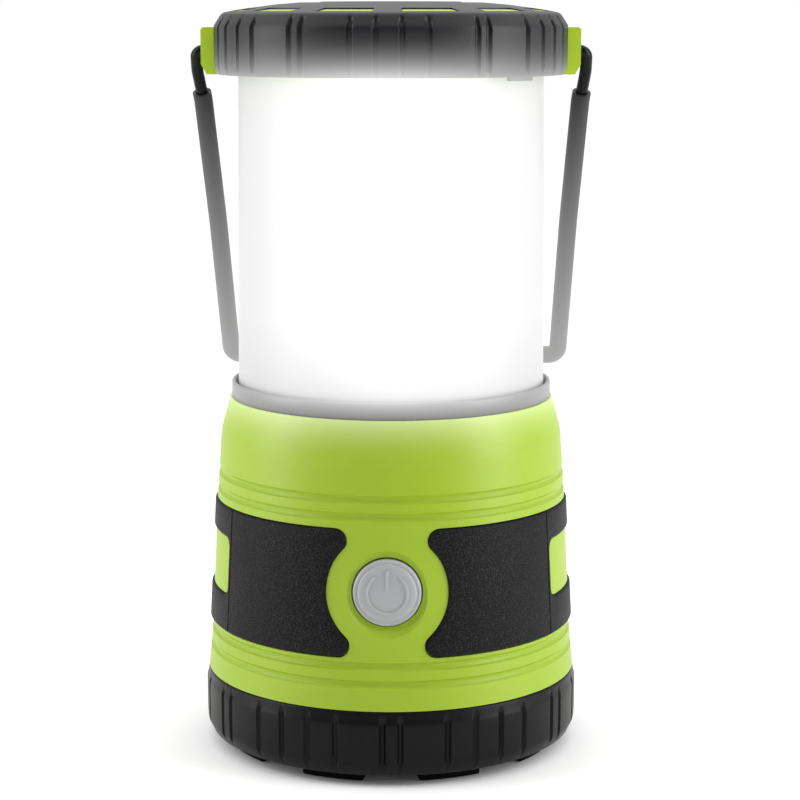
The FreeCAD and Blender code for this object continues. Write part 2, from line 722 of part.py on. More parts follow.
shell = turned("shell_turning", [
    ("neck_rad", "neck_bottom"),
    ("neck_rad", "seal_groove_low"),
    ("seal_groove_rad", "seal_groove_low"),
    ("seal_groove_rad", "seal_groove_high"),
    ("neck_rad", "seal_groove_high"),
    ("neck_rad", "shell_foot"),
    ("shell_foot_rad", "shell_foot"),
    ("shell_waist_rad", "shell_waist"),
    ("shell_chest_rad", "shell_chest"),
    ("shell_shoulder_rad", "shell_shoulder"),
    ("shell_top_rad", "shell_top"),
    ("seat_rad", "shell_top"),
    ("seat_rad", "seat_low"),
    ("bay_top_rad", "seat_cone"),
    ("bay_top_rad", "bay_top"),
    ("bay_rad", "bay_high"),
    ("bay_rad", "bay_low"),
    ("neck_bore", "bay_low - 2"),
    ("neck_bore", "neck_bottom"),
])
round_edges(shell, "shoulder_round",
            at_height("shell_shoulder - 0.5", "shell_shoulder + 0.5", "43", "43.6"))
for low in ("line_a", "line_b", "line_c", "line_d"):
    mid = low + " + line_tall / 2"
    cut_line = sketch_on(shell, "XZ_Plane")
    outline(cut_line, [
        (wall_rad(mid) + " - line_deep", low + " + 0.4"),
        (wall_rad(mid) + " - line_deep + 0.15", low + " + 0.1"),
        (wall_rad(mid) + " - line_deep / 2", low + " - 0.15"),
        (wall_rad(mid) + " + line_soft", low + " - line_soft - 0.3"),
        (wall_rad(mid) + " + 2", low + " - line_soft - 0.3"),
        (wall_rad(mid) + " + 2", low + " + line_tall + line_soft"),
        (wall_rad(mid) + " + line_soft / 3", low + " + line_tall + line_soft"),
        (wall_rad(mid) + " - line_deep / 2", low + " + line_tall"),
        (wall_rad(mid) + " - line_deep + 0.1", low + " + line_tall - 0.3"),
        (wall_rad(mid) + " - line_deep", low + " + line_tall - 0.5"),
    ])
    feature(shell, "Groove", cut_line, Angle=360)
notch = sketch_on(shell, "XZ_Plane", -45.0)
outline(notch, block_corners("notch_rad", "neck_rad + 1", "neck_bottom - 1", "notch_top"))
notch_turn = feature(shell, "Groove", notch, Angle="notch_angle", Midplane=True)
around(shell, [notch_turn], 3)
post = sketch_on(shell, "XY_Plane", 0.0, "post_low")
ring(post, "0", "-post_ring", "post_rad")
post_pad = feature(shell, "Pad", post, Length="post_high - post_low")
rib = sketch_on(shell, "XY_Plane", 0.0, "post_low")
outline(rib, block_corners("-post_rib / 2", "post_rib / 2", "-bay_rad", "-post_ring"))
rib_pad = feature(shell, "Pad", rib, Length="post_high - post_low")
around(shell, [post_pad, rib_pad], 3)
bore = sketch_on(shell, "XY_Plane", 0.0, "post_low + 1.5")
ring(bore, "0", "-post_ring", "screw_rad + screw_slack")
bore_cut = feature(shell, "Pocket", bore, Length="post_high - post_low", Reversed=True)
around(shell, [bore_cut], 3)
dish = sketch_on(shell, "XY_Plane", 0.0, "button_mid")
outline(dish, [
    ("0", "-dish_floor"),
    ("dish_rad - dish_slope", "-dish_floor"),
    ("dish_rad - dish_slope / 2", "-dish_floor - 0.15"),
    ("dish_rad", "-dish_floor - 0.5"),
    ("dish_rad + dish_slope / 2", "-dish_floor - 1.1"),
    ("dish_rad + dish_slope", "-dish_floor - 2.2"),
    ("dish_rad + dish_slope", "-dish_floor - 4"),
    ("0", "-dish_floor - 4"),
])
feature(shell, "Groove", dish, Angle=360)
hole = sketch_on(shell, "XZ_Plane", 0.0, "dish_floor + 4")
ring(hole, "0", "button_mid", "button_hole")
feature(shell, "Pocket", hole, Length="12")


def nose_mid(edge):
    """Formulas for the middle of the nose that touches one edge of the pad."""
    rise = edge + " - button_mid"
    if edge == "grip_high":
        level = "grip_high - grip_nose"
        rise = rise + " - grip_nose"
    else:
        level = "grip_low + grip_nose"
        rise = rise + " + grip_nose"
    return "sqrt((grip_scoop + grip_nose)^2 - (" + rise + ")^2)", level


def scoop_sketch(body, spare):
    """Area cut from a pad's front: everything on the button's side of a line
    that rounds the upper nose, follows the scoop and rounds the lower nose."""
    sketch = sketch_on(body, "XZ_Plane", 0.0, "60")
    noses = []
    for edge in ("grip_high", "grip_low"):
        x, z = nose_mid(edge)
        noses.append(Vector(calc(x), calc(z), 0))
    button = Vector(0, calc("button_mid"), 0)
    nose = calc("grip_nose + " + spare)
    scoop = calc("grip_scoop - " + spare)
    touch = [button + (spot - button).normalize() * scoop for spot in noses]
    top = noses[0] + Vector(0, nose, 0)
    bottom = noses[1] - Vector(0, nose, 0)
    lead = (touch[0] - noses[0]).getAngle(Vector(1, 0, 0))
    tail = (touch[1] - noses[1]).getAngle(Vector(1, 0, 0))
    up = (touch[0] - button).getAngle(Vector(1, 0, 0))
    down = (touch[1] - button).getAngle(Vector(1, 0, 0))
    upright = Vector(0, 0, 1)
    upper = Part.Circle(noses[0], upright, nose)
    middle = Part.Circle(button, upright, scoop)
    lower = Part.Circle(noses[1], upright, nose)
    far = Vector(-20, 0, 0)
    high = Vector(0, 6, 0)
    sketch.addGeometry([
        Part.ArcOfCircle(upper, math.pi / 2, 2 * math.pi - lead),
        Part.ArcOfCircle(middle, -down, up),
        Part.ArcOfCircle(lower, tail, 3 * math.pi / 2),
        Part.LineSegment(bottom, bottom - high),
        Part.LineSegment(bottom - high, Vector(far.x, bottom.y - high.y, 0)),
        Part.LineSegment(Vector(far.x, bottom.y - high.y, 0), Vector(far.x, top.y + high.y, 0)),
        Part.LineSegment(Vector(far.x, top.y + high.y, 0), top + high),
        Part.LineSegment(top + high, top),
    ])
    sketch.addConstraint([
        Sketcher.Constraint("Tangent", 0, 2, 1, 2),
        Sketcher.Constraint("Tangent", 1, 1, 2, 1),
        Sketcher.Constraint("Coincident", 2, 2, 3, 1),
        Sketcher.Constraint("Coincident", 3, 2, 4, 1),
        Sketcher.Constraint("Coincident", 4, 2, 5, 1),
        Sketcher.Constraint("Coincident", 5, 2, 6, 1),
        Sketcher.Constraint("Coincident", 6, 2, 7, 1),
        Sketcher.Constraint("Coincident", 7, 2, 0, 1),
    ])
    return sketch


def rounded_block(sketch, half, low, high, corner):
    """Rectangle with rounded corners, centred on the sketch's upright axis."""
    wide = calc(half)
    bottom = calc(low)
    top = calc(high)
    bend = calc(corner)
    upright = Vector(0, 0, 1)
    pieces = []
    for x, y, start in ((wide, top, 0), (-wide, top, 90), (-wide, bottom, 180), (wide, bottom, 270)):
        inward = Vector(-math.copysign(bend, x), -bend if y == top else bend, 0)
        circle = Part.Circle(Vector(x, y, 0) + inward, upright, bend)
        pieces.append(Part.ArcOfCircle(circle, math.radians(start), math.radians(start + 90)))
    pieces.append(Part.LineSegment(Vector(wide - bend, top, 0), Vector(bend - wide, top, 0)))
    pieces.append(Part.LineSegment(Vector(-wide, top - bend, 0), Vector(-wide, bottom + bend, 0)))
    pieces.append(Part.LineSegment(Vector(bend - wide, bottom, 0), Vector(wide - bend, bottom, 0)))
    pieces.append(Part.LineSegment(Vector(wide, bottom + bend, 0), Vector(wide, top - bend, 0)))
    sketch.addGeometry(pieces)
    joins = []
    for index in range(4):
        joins.append(Sketcher.Constraint("Tangent", index, 2, 4 + index, 1))
        joins.append(Sketcher.Constraint("Tangent", 4 + index, 2, (index + 1) % 4, 1))
    sketch.addConstraint(joins)


def grip_blank(name, spare, sunk):
    """Pad on the right side: part of a turned band with round noses and a
    scoop at both ends and a window in the middle. spare widens it all round
    and sunk deepens it, which makes the tool for its recess in the shell."""
    body = new_body(name)
    profile = sketch_on(body, "XZ_Plane")
    low = "grip_low - " + spare
    high = "grip_high + " + spare
    proud = "0" if sunk == "0" else "2"
    outline(profile, [
        ("grip_low_rad - grip_thick - " + sunk, low),
        ("grip_low_rad + " + proud, low),
        ("grip_high_rad + " + proud, high),
        ("grip_high_rad - grip_thick - " + sunk, high),
    ])
    feature(body, "Revolution", profile, Angle=174, Midplane=True)
    feature(body, "Pocket", scoop_sketch(body, spare), Length="120")
    window = sketch_on(body, "YZ_Plane", 0.0, "60")
    rounded_block(window, "window_half - " + spare, "window_low + " + spare,
                  "window_high - " + spare, "window_round - " + spare)
    feature(body, "Pocket", window, Length="50")
    return body


def grip_pad(name):
    """Finished pad: the blank with thin parting lines and a softened outer edge."""
    body = grip_blank(name, "0", "0")
    for turn in (-1, 1):
        azimuth = 90 + turn * (90 - calc("grip_parting"))
        line = sketch_on(body, "XZ_Plane", azimuth, "60")
        outline(line, block_corners("-parting_wide / 2", "parting_wide / 2",
                                    "grip_low - 1", "grip_high + 1"))
        feature(body, "Pocket", line, Length="60 - button_face + parting_deep")
    return body


recess_right = grip_blank("recess_right", "grip_line", "grip_seat")
recess_left = grip_blank("recess_left", "grip_line", "grip_seat")
recess_left.Placement = Placement(Vector(), Rotation(Vector(0, 0, 1), 180))
studded = [less(shell, [recess_right, recess_left])]
stud_bores = []
for side in ("-13", "13"):
    studded.append(rod("2.9", "3.2", side, "-plate_front - 3.2", "button_mid", (0, 1, 0)))
    stud_bores.append(rod("screw_rad + screw_slack", "2", side, "-plate_front - 1.7",
                          "button_mid", (0, 1, 0)))
keep(less(fused(studded), stud_bores), "body_shell")

grip_right = grip_pad("grip_pad_right")
keep(grip_right, "grip_pad_right")
grip_left = grip_pad("grip_pad_left")
grip_left.Placement = Placement(Vector(), Rotation(Vector(0, 0, 1), 180))
keep(grip_left, "grip_pad_left")

# ---------------------------------------------------- power button and switch
# Button: stepped disc through the wall, flange behind it, stem to the switch,
# and a power mark in low relief. It is turned about an axis along Y.
button = new_body("power_button")
button_half = sketch_on(button, "XY_Plane", 0.0, "button_mid")
outline(button_half, [
    ("0", "-button_face"),
    ("button_step_rad * 0.6", "-button_face + 0.05"),
    ("button_step_rad", "-button_face + 0.3"),
    ("button_step_rad + 0.3", "-button_rim"),
    ("button_rad - 0.5", "-button_rim"),
    ("button_rad", "-button_rim + 0.5"),
    ("button_rad", "-flange_front"),
    ("flange_rad", "-flange_front"),
    ("flange_rad", "-flange_back"),
    ("stem_rad", "-flange_back"),
    ("stem_rad", "-stem_back"),
    ("0", "-stem_back"),
])
feature(button, "Revolution", button_half, Angle=360)
arc = sketch_on(button, "XY_Plane", 0.0, "button_mid")
arc_lift = Vector(0, 0, calc("button_mid"))
arc.AttachmentOffset = Placement(arc_lift, Rotation(Vector(0, 1, 0), 90))
outline(arc, [
    ("mark_rad - mark_wide", "-button_face + 0.6"),
    ("mark_rad - mark_wide", "-button_face - mark_high"),
    ("mark_rad", "-button_face - mark_high"),
    ("mark_rad", "-button_face + 0.6"),
])
arc_turn = feature(button, "Revolution", arc, Angle=290, Midplane=True)
bar = sketch_on(button, "XZ_Plane", 0.0, "button_face + mark_high")
outline(bar, block_corners("-mark_wide / 2", "mark_wide / 2",
                           "button_mid + 0.8", "button_mid + mark_rad + 0.4"))
feature(button, "Pad", bar, Length="mark_high + 0.5", Reversed=True)
keep(button, "power_button")

# Switch plunger, its case and the small board behind it.
keep(rod("plunger_rad", "plunger_front - plunger_back", "0", "-plunger_front",
         "button_mid", (0, 1, 0)), "switch_plunger")
case = brick("switch_wide", "switch_front - switch_back", "switch_wide", "0",
             "-(switch_front + switch_back) / 2", "button_mid - switch_wide / 2")
case_bore = rod("plunger_rad + running_gap", "2.2", "0", "-switch_front - 0.2",
                "button_mid", (0, 1, 0))
keep(less(case, [case_bore]), "tact_switch")
keep(brick("board_wide", "board_thick", "board_tall", "0",
           "-switch_back + board_thick / 2", "button_mid - board_tall / 2"), "switch_board")

# Retainer: plate behind the flange, four legs to the board and a stem hole.
plate = brick("plate_wide", "plate_front - plate_back", "plate_tall", "0",
              "-(plate_front + plate_back) / 2", "button_mid - plate_tall / 2")
legs = [plate]
for side in ("-1", "1"):
    for rise in ("-1", "1"):
        legs.append(rod("1.5", "plate_back - switch_back", side + " * (board_wide / 2 - 2)",
                        "-plate_back", "button_mid + " + rise + " * (board_tall / 2 - 2)",
                        (0, 1, 0)))
holes = [rod("stem_rad + 0.4", "4", "0", "-plate_front - 1", "button_mid", (0, 1, 0))]
for side in ("-13", "13"):
    holes.append(rod("screw_rad + screw_slack", "4", side, "-plate_front - 1",
                     "button_mid", (0, 1, 0)))
keep(less(fused(legs), holes), "switch_retainer")


def screw(x, y, z, length, axis):
    """Pan head with its shank; the point is under the head."""
    head_back = tuple(-part for part in axis)
    shank = rod("screw_rad", length, x, y, z, axis)
    head = rod("screw_head", "screw_head_tall", x, y, z, head_back)
    return fused([shank, head])


retainer_screws = []
for side in ("-13", "13"):
    retainer_screws.append(screw(side, "-plate_back", "button_mid", "3.1", (0, -1, 0)))
keep(group(retainer_screws), "retainer_screws")

# -------------------------------------------------------------- battery bay
# Cage of three joined tubes, open at both ends, that holds the cells upright.
tubes = []
bores = []
for x, y in spots_round("cell_ring", CELL_AZIMUTHS):
    tubes.append(rod("cell_rad + cage_gap + cage_wall", "cage_high - cage_low", x, y, "cage_low"))
    bores.append(rod("cell_rad + cage_gap", "cage_high - cage_low + 2", x, y, "cage_low - 1"))
keep(less(fused(tubes), bores), "cell_cage")

cells = []
for x, y in spots_round("cell_ring", CELL_AZIMUTHS):
    can = rod("cell_rad", "cell_length", x, y, "cell_bottom")
    nub = rod("cell_nub_rad", "cell_nub", x, y, "cell_bottom + cell_length")
    cells.append(fused([can, nub]))
keep(group(cells), "battery_cells")

# Plus contacts under the roof.
contacts = []
for x, y in spots_round("cell_ring", CELL_AZIMUTHS):
    contacts.append(rod("bridge_pad - 2", "bridge_thick", x, y, "roof_low - bridge_thick"))
keep(group(contacts), "plus_contacts")

# Roof of the bay with the rim that carries the globe's seal, three posts for
# the heat sink and a low boss under the driver board.
roof = turned("bay_roof", [
    ("0", "roof_low"),
    ("roof_rad", "roof_low"),
    ("roof_rad", "roof_high"),
    ("rim_out", "roof_high"),
    ("rim_out", "rim_top"),
    ("rim_groove_out", "rim_top"),
    ("rim_groove_out", "rim_groove_floor"),
    ("rim_groove_in", "rim_groove_floor"),
    ("rim_groove_in", "rim_top"),
    ("rim_in", "rim_top"),
    ("rim_in", "roof_high"),
    ("6", "roof_high"),
    ("6", "driver_low"),
    ("0", "driver_low"),
])
stand = sketch_on(roof, "XY_Plane", 0.0, "roof_high - 0.5")
ring(stand, "0", "stand_ring", "stand_rad")
stand_pad = feature(roof, "Pad", stand, Length="stand_top - roof_high + 0.5")
stand_bore = sketch_on(roof, "XY_Plane", 0.0, "roof_high + 0.2")
ring(stand_bore, "0", "stand_ring", "screw_rad + screw_slack")
bore_cut = feature(roof, "Pocket", stand_bore, Length="stand_top", Reversed=True)
around(roof, [stand_pad, bore_cut], 3)
roof_bore = sketch_on(roof, "XY_Plane", 0.0, "roof_low - 1")
ring(roof_bore, "0", "-post_ring", "screw_rad + screw_slack")
roof_cut = feature(roof, "Pocket", roof_bore, Length="roof_high - roof_low + 2", Reversed=True)
around(roof, [roof_cut], 3)
keep(roof, "bay_roof")

roof_screws = []
for x, y in spots_round("post_ring", POST_AZIMUTHS):
    roof_screws.append(screw(x, y, "roof_high", "9", (0, 0, -1)))
keep(group(roof_screws), "roof_screws")

# Rubber ring under the globe's lower end.
globe_seal = doc.addObject("Part::Torus", "GlobeSeal")
globe_seal.setExpression("Radius1", bound("globe_seal_rad"))
globe_seal.setExpression("Radius2", bound("globe_seal_wire"))
place(globe_seal, "0", "0", "globe_seal_z")
keep(globe_seal, "globe_seal")

# ---------------------------------------------------------------------- lamp
# Driver board with its parts, on the roof's boss.
keep(brick("driver_long", "driver_wide", "board_thick", "0", "0", "driver_low"), "driver_board")
driver_top = "driver_low + board_thick"
keep(group([
    brick("5", "4", "1.2", "-9", "3", driver_top),
    brick("7", "7", "1.5", "3", "-4", driver_top),
    rod("2.5", "1.5", "9", "6", driver_top),
    brick("3", "1.6", "0.8", "-8", "-6", driver_top),
]), "driver_parts")

# Heat sink: disc with fins underneath.
sink = turned("heat_sink", block_corners("0", "sink_rad", "stand_top", "sink_top"))
fin = sketch_on(sink, "XZ_Plane", 15.0)
outline(fin, block_corners("fin_in", "fin_out", "fin_low", "stand_top + 0.5"))
fin_pad = feature(sink, "Pad", fin, Length="fin_wide", Midplane=True)
around(sink, [fin_pad], int(calc("fin_count")))
sink_bore = sketch_on(sink, "XY_Plane", 0.0, "stand_top - 1")
ring(sink_bore, "0", "stand_ring", "screw_rad + screw_slack")
sink_cut = feature(sink, "Pocket", sink_bore, Length="8", Reversed=True)
around(sink, [sink_cut], 3)
lead_bore = sketch_on(sink, "XY_Plane", 0.0, "stand_top - 1")
ring(lead_bore, "lead_ring", "0", "lead_rad + 0.5")
lead_cut = feature(sink, "Pocket", lead_bore, Length="8", Reversed=True)
around(sink, [lead_cut], 2)
keep(sink, "heat_sink")

lamp = turned("lamp_board", block_corners("0", "lamp_board_rad", "sink_top", "lamp_board_top"))
lamp_bore = sketch_on(lamp, "XY_Plane", 0.0, "sink_top - 1")
ring(lamp_bore, "0", "stand_ring", "screw_rad + screw_slack")
lamp_cut = feature(lamp, "Pocket", lamp_bore, Length="8", Reversed=True)
around(lamp, [lamp_cut], 3)
lamp_lead = sketch_on(lamp, "XY_Plane", 0.0, "sink_top - 1")
ring(lamp_lead, "lead_ring", "0", "lead_rad + 0.3")
lead_cut = feature(lamp, "Pocket", lamp_lead, Length="8", Reversed=True)
around(lamp, [lead_cut], 2)
keep(lamp, "lamp_board")

chips = []
for x, y in spots_round("led_ring", range(0, 360, 60)):
    chips.append(brick("led_side", "led_side", "led_tall", x, y, "lamp_board_top"))
keep(group(chips), "lamp_chips")

lamp_screws = []
for x, y in spots_round("stand_ring", (60, 180, 300)):
    lamp_screws.append(screw(x, y, "lamp_board_top", "7", (0, 0, -1)))
keep(group(lamp_screws), "lamp_screws")

lens = turned("lamp_lens", [
    ("lens_rad - lens_wall", "sink_top"),
    ("lens_rad", "sink_top"),
    ("lens_rad", "lens_side_top"),
    ("lens_flat_rad", "lens_top"),
    ("0", "lens_top"),
    ("0", "lens_top - lens_wall"),
    ("lens_flat_rad - 0.4", "lens_top - lens_wall"),
    ("lens_rad - lens_wall", "lens_side_top - lens_wall + 0.4"),
])
keep(lens, "lamp_lens")

lead_length = "lamp_board_top + 0.8 - driver_low - board_thick"
keep(rod("lead_rad", lead_length, "lead_ring", "0", driver_top), "lead_red")
keep(rod("lead_rad", lead_length, "-lead_ring", "0", driver_top), "lead_black")

# -------------------------------------------------------------------- collar
# Ring with a thin lip round the foot of the globe; its spigot sits in the shell.
collar = turned("globe_collar", [
    ("collar_in", "collar_low"),
    ("collar_spigot", "collar_low"),
    ("collar_spigot", "shell_top"),
    ("collar_rad", "shell_top"),
    ("collar_rad", "collar_top - 0.3"),
    ("collar_rad - 0.3", "collar_top"),
    ("collar_lip", "collar_top"),
    ("collar_lip", "shell_top + 0.8"),
    ("collar_in", "shell_top + 0.4"),
])
keep(collar, "globe_collar")

# --------------------------------------------------------------------- globe
# Slightly tapered tube of frosted plastic, glued into the cap's core.
globe = turned("globe", [
    ("globe_low_rad - globe_wall", "globe_low"),
    ("globe_low_rad", "globe_low"),
    ("globe_low_rad", "collar_top"),
    ("globe_high_rad", "cap_low"),
    ("globe_high_rad", "globe_high"),
    ("globe_high_rad - globe_wall", "globe_high"),
    ("globe_high_rad - globe_wall", "cap_low"),
    ("globe_low_rad - globe_wall", "collar_top"),
])
keep(globe, "globe")

# ----------------------------------------------------------------------- cap
# Soft cover: low dome with a blank raised disc, chamfered rim, ribbed skirt with
# a thumb tab, twelve windows in the top and an opening on each side for a boss.
soft = turned("cap_cover", [
    ("0", "cap_top"),
    ("cap_badge_rad - 0.3", "cap_top"),
    ("cap_badge_rad", "cap_flat"),
    ("cap_flat_rad", "cap_flat"),
    ("cap_corner_rad - 0.6", "cap_corner + 0.08"),
    ("cap_corner_rad + 0.25", "cap_corner - 0.35"),
    ("cap_rad - 0.2", "cap_chamfer_low + 0.3"),
    ("cap_rad", "cap_chamfer_low - 0.5"),
    ("cap_rad", "cap_round_top"),
    ("cap_low_rad", "cap_low"),
    ("cap_rad - cap_skin", "cap_low"),
    ("cap_rad - cap_skin", "cap_chamfer_low - 0.7"),
    ("cap_corner_rad - 1.3", "cap_corner - cap_skin"),
    ("cap_flat_rad", "cap_flat - cap_skin"),
    ("0", "cap_flat - cap_skin"),
])
pair = calc("cap_pair_step")
inner = calc("cap_four_inner")
outer = calc("cap_four_outer")
cap_turns = (-outer, -inner, inner, outer, 30 - pair, 30 + pair)
cap_turns = [turn + calc("cap_turn") for turn in cap_turns]
slits(soft, cap_turns, 6, "cap_slot_wide", "cap_slot_deep", "cap_slot_low",
      "cap_slot_high", "cap_rad")
accent = sketch_on(soft, "XZ_Plane", -15.0)
outline(accent, block_corners("accent_in", "accent_out", "cap_corner - 5", "cap_top + 2"))
accent_cut = feature(soft, "Groove", accent, Angle="accent_angle", Midplane=True)
around(soft, [accent_cut], int(calc("accent_count")))
gate = sketch_on(soft, "YZ_Plane", 0.0, "cap_rad + 2")
outline(gate, block_corners("-boss_half - boss_slack", "boss_half + boss_slack",
                            "cap_low - 2", "boss_high + boss_slack"))
gate_cut = feature(soft, "Pocket", gate, Length="cap_skin + 5")
around(soft, [gate_cut], 2)
tab = sketch_on(soft, "XZ_Plane", calc("tab_front + tab_angle / 2") - 90)
outline(tab, block_corners("cap_rad - cap_skin", "cap_low_rad - 0.1", "tab_low", "cap_low + 0.5"))
feature(soft, "Revolution", tab, Angle="tab_angle", Midplane=True)
keep(soft, "cap_cover")

# Hard core: roof under the cover, tiles that fill its windows, socket for the
# globe, and a boss on each side with a bore for the bail.
core = turned("cap_core", [
    ("0", "cap_flat - cap_skin - core_gap"),
    ("cap_flat_rad", "cap_flat - cap_skin - core_gap"),
    ("cap_corner_rad - 1.3 - core_gap", "cap_corner - cap_skin - core_gap"),
    ("cap_rad - cap_skin - core_gap", "cap_chamfer_low - 0.7 - core_gap"),
    ("cap_rad - cap_skin - core_gap", "core_low"),
    ("core_bore + 1.6", "core_low"),
    ("core_bore", "core_low + 1.6"),
    ("core_bore", "core_stop_low"),
    ("core_stop", "core_stop_low"),
    ("core_stop", "core_roof - 1"),
    ("cap_flat_rad", "core_roof"),
    ("0", "core_roof"),
])
tile = sketch_on(core, "XZ_Plane", -15.0)
outline(tile, [
    ("accent_in + accent_slack", "cap_corner - cap_skin - 0.4"),
    ("accent_out - accent_slack", "cap_corner - cap_skin - 0.4"),
    ("accent_out - accent_slack", "cap_corner + 0.35 - accent_drop"),
    ("accent_in + accent_slack", "cap_corner + 0.88 - accent_drop"),
])
tile_turn = feature(core, "Revolution", tile, Angle="accent_angle - 0.5", Midplane=True)
around(core, [tile_turn], int(calc("accent_count")))
boss = sketch_on(core, "XZ_Plane")
outline(boss, [
    ("cap_rad - cap_skin - 2.5", "core_low + 0.5"),
    ("cap_rad - cap_skin", "boss_low"),
    ("boss_face - boss_chamfer_wide", "boss_low"),
    ("boss_face", "boss_low + boss_chamfer_tall"),
    ("boss_face", "boss_high - 0.5"),
    ("boss_face - 0.5", "boss_high"),
    ("cap_rad - cap_skin - 2.5", "boss_high"),
])
boss_pad = feature(core, "Pad", boss, Length="2 * boss_half", Midplane=True)
boss_bore = sketch_on(core, "YZ_Plane", 0.0, "boss_face + 1")
ring(boss_bore, "0", "pivot_z", "bail_wire_rad + running_gap")
boss_cut = feature(core, "Pocket", boss_bore, Length="boss_face + 1 - bail_tip + 0.4")
around(core, [boss_pad, boss_cut], 2)
stub = sketch_on(core, "XY_Plane", 0.0, "cone_flange_low + cone_thick")
ring(stub, "0", "cap_screw_ring", "stand_rad")
stub_pad = feature(core, "Pad", stub, Length="core_roof - cone_flange_low - cone_thick")
around(core, [stub_pad], 3)
stub_bore = sketch_on(core, "XY_Plane", 0.0, "cone_flange_low")
ring(stub_bore, "0", "cap_screw_ring", "screw_rad + screw_slack")
stub_cut = feature(core, "Pocket", stub_bore, Length="4.1", Reversed=True)
around(core, [stub_cut], 3)
keep(core, "cap_core")

# Cone that spreads the light, screwed under the core.
cone = turned("cap_reflector", [
    ("0", "cone_tip"),
    ("cone_flange_rad", "cone_flange_low"),
    ("cone_rad", "cone_flange_low"),
    ("cone_rad", "cone_flange_low + cone_thick"),
    ("cone_flange_rad - 0.5", "cone_flange_low + cone_thick"),
    ("0", "cone_tip + cone_thick"),
])
cone_bore = sketch_on(cone, "XY_Plane", 0.0, "cone_flange_low - 1")
ring(cone_bore, "0", "cap_screw_ring", "screw_rad + screw_slack")
cone_cut = feature(cone, "Pocket", cone_bore, Length="4", Reversed=True)
around(cone, [cone_cut], 3)
keep(cone, "cap_reflector")

cap_screws = []
for x, y in spots_round("cap_screw_ring", (60, 180, 300)):
    cap_screws.append(screw(x, y, "cone_flange_low", "3.9", (0, 0, 1)))
keep(group(cap_screws), "cap_screws")

# ---------------------------------------------------------------------- bail
# Bent wire: turned-in ends in the bosses, short drop, knee, long arms that
# bow in slightly, and a cross bar. It hangs behind the globe.
swing = math.radians(calc("bail_lean"))


def on_bail(x, along):
    """Point of the hanging bail, from its half width and distance from the pivot."""
    return Vector(x, along * math.sin(swing), calc("pivot_z") - along * math.cos(swing))


right_side = [
    on_bail(calc("bail_out"), 0),
    on_bail(calc("bail_out"), calc("bail_drop")),
    on_bail(calc("bail_knee_x"), calc("bail_knee")),
    on_bail(calc("bail_belly_x"), calc("bail_belly")),
    on_bail(calc("bail_corner_x"), calc("bail_reach")),
]
left_side = [Vector(-spot.x, spot.y, spot.z) for spot in reversed(right_side)]
bends = [calc("bail_bend"), 12.0, 30.0, 400.0, calc("bail_corner_bend")]
tips = [on_bail(calc("bail_tip"), 0), on_bail(-calc("bail_tip"), 0)]
wire_line = bent_path([tips[0]] + right_side + left_side + [tips[1]], bends + bends[::-1])
shaped("bail_wire", swept(wire_line, calc("bail_wire_rad")))

# Grip sleeve over the arms and the cross bar.
part_way = calc("(sleeve_start - bail_drop) / (bail_knee - bail_drop)")
start_x = calc("bail_out") + part_way * calc("bail_knee_x - bail_out")
sleeve_tip = on_bail(start_x, calc("sleeve_start"))
sleeve_end = Vector(-sleeve_tip.x, sleeve_tip.y, sleeve_tip.z)
sleeve_points = [sleeve_tip] + right_side[2:] + left_side[:-2] + [sleeve_end]
sleeve_bends = [8.0] + bends[3:]
sleeve_line = bent_path(sleeve_points, sleeve_bends + sleeve_bends[::-1])
sleeve = swept(sleeve_line, calc("sleeve_rad"))
hollow = swept(sleeve_line, calc("bail_wire_rad + sleeve_gap"))
shaped("bail_grip", sleeve.cut(hollow))

# -------------------------------------------------------------------- output
doc.recompute()
for thing in doc.Objects:
    for state in thing.State:
        if state in ("Invalid", "Error"):
            raise RuntimeError(thing.Label + " is " + state)
for node in nodes:
    shape = node.Shape
    if shape.isNull() or not shape.isValid() or not shape.Solids:
        raise RuntimeError(node.Label + " has no valid shape")
for node in nodes:
    node.Shape.exportStep("parts/" + node.Label + ".step")
    print(node.Label, len(node.Shape.Solids), round(node.Shape.Volume, 1))
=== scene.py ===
import math

import bmesh
import bpy
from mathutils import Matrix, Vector


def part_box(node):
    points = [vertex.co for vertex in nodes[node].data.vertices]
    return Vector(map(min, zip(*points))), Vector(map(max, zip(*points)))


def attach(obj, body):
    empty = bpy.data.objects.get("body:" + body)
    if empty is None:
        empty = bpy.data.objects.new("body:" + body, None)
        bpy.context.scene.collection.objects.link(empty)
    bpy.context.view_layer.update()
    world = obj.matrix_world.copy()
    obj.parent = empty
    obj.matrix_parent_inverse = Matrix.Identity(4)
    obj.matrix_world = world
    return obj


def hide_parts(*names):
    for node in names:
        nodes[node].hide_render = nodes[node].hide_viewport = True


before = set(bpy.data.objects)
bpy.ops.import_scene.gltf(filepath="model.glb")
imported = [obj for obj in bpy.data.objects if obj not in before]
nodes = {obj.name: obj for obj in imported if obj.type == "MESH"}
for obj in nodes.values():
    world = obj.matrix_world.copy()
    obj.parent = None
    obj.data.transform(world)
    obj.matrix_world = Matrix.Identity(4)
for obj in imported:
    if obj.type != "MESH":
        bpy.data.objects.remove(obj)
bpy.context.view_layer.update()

# ------------------------------------------------------------ camera and light
# The lantern stands on white paper and is seen from the front, a little from
# above, with one long lens. The room is white behind it and dimmer in front, and
# two upright lights edge the dark pieces. The paper is clear from below.
eye = bpy.data.objects.new("eye", bpy.data.cameras.new("eye"))
bpy.context.scene.collection.objects.link(eye)
bpy.context.scene.camera = eye
eye.data.sensor_width = 36
eye.data.lens = 103.2
eye.data.shift_x = 0.01125
eye.data.clip_start = 0.01
eye_turn = math.radians(1.2)
eye_dip = math.radians(9.588)
eye_far = 0.57866
eye_high = 0.18496
eye.location = (eye_far * math.sin(eye_turn), -eye_far * math.cos(eye_turn), eye_high)
eye.rotation_euler = (math.pi / 2 - eye_dip, 0, eye_turn)
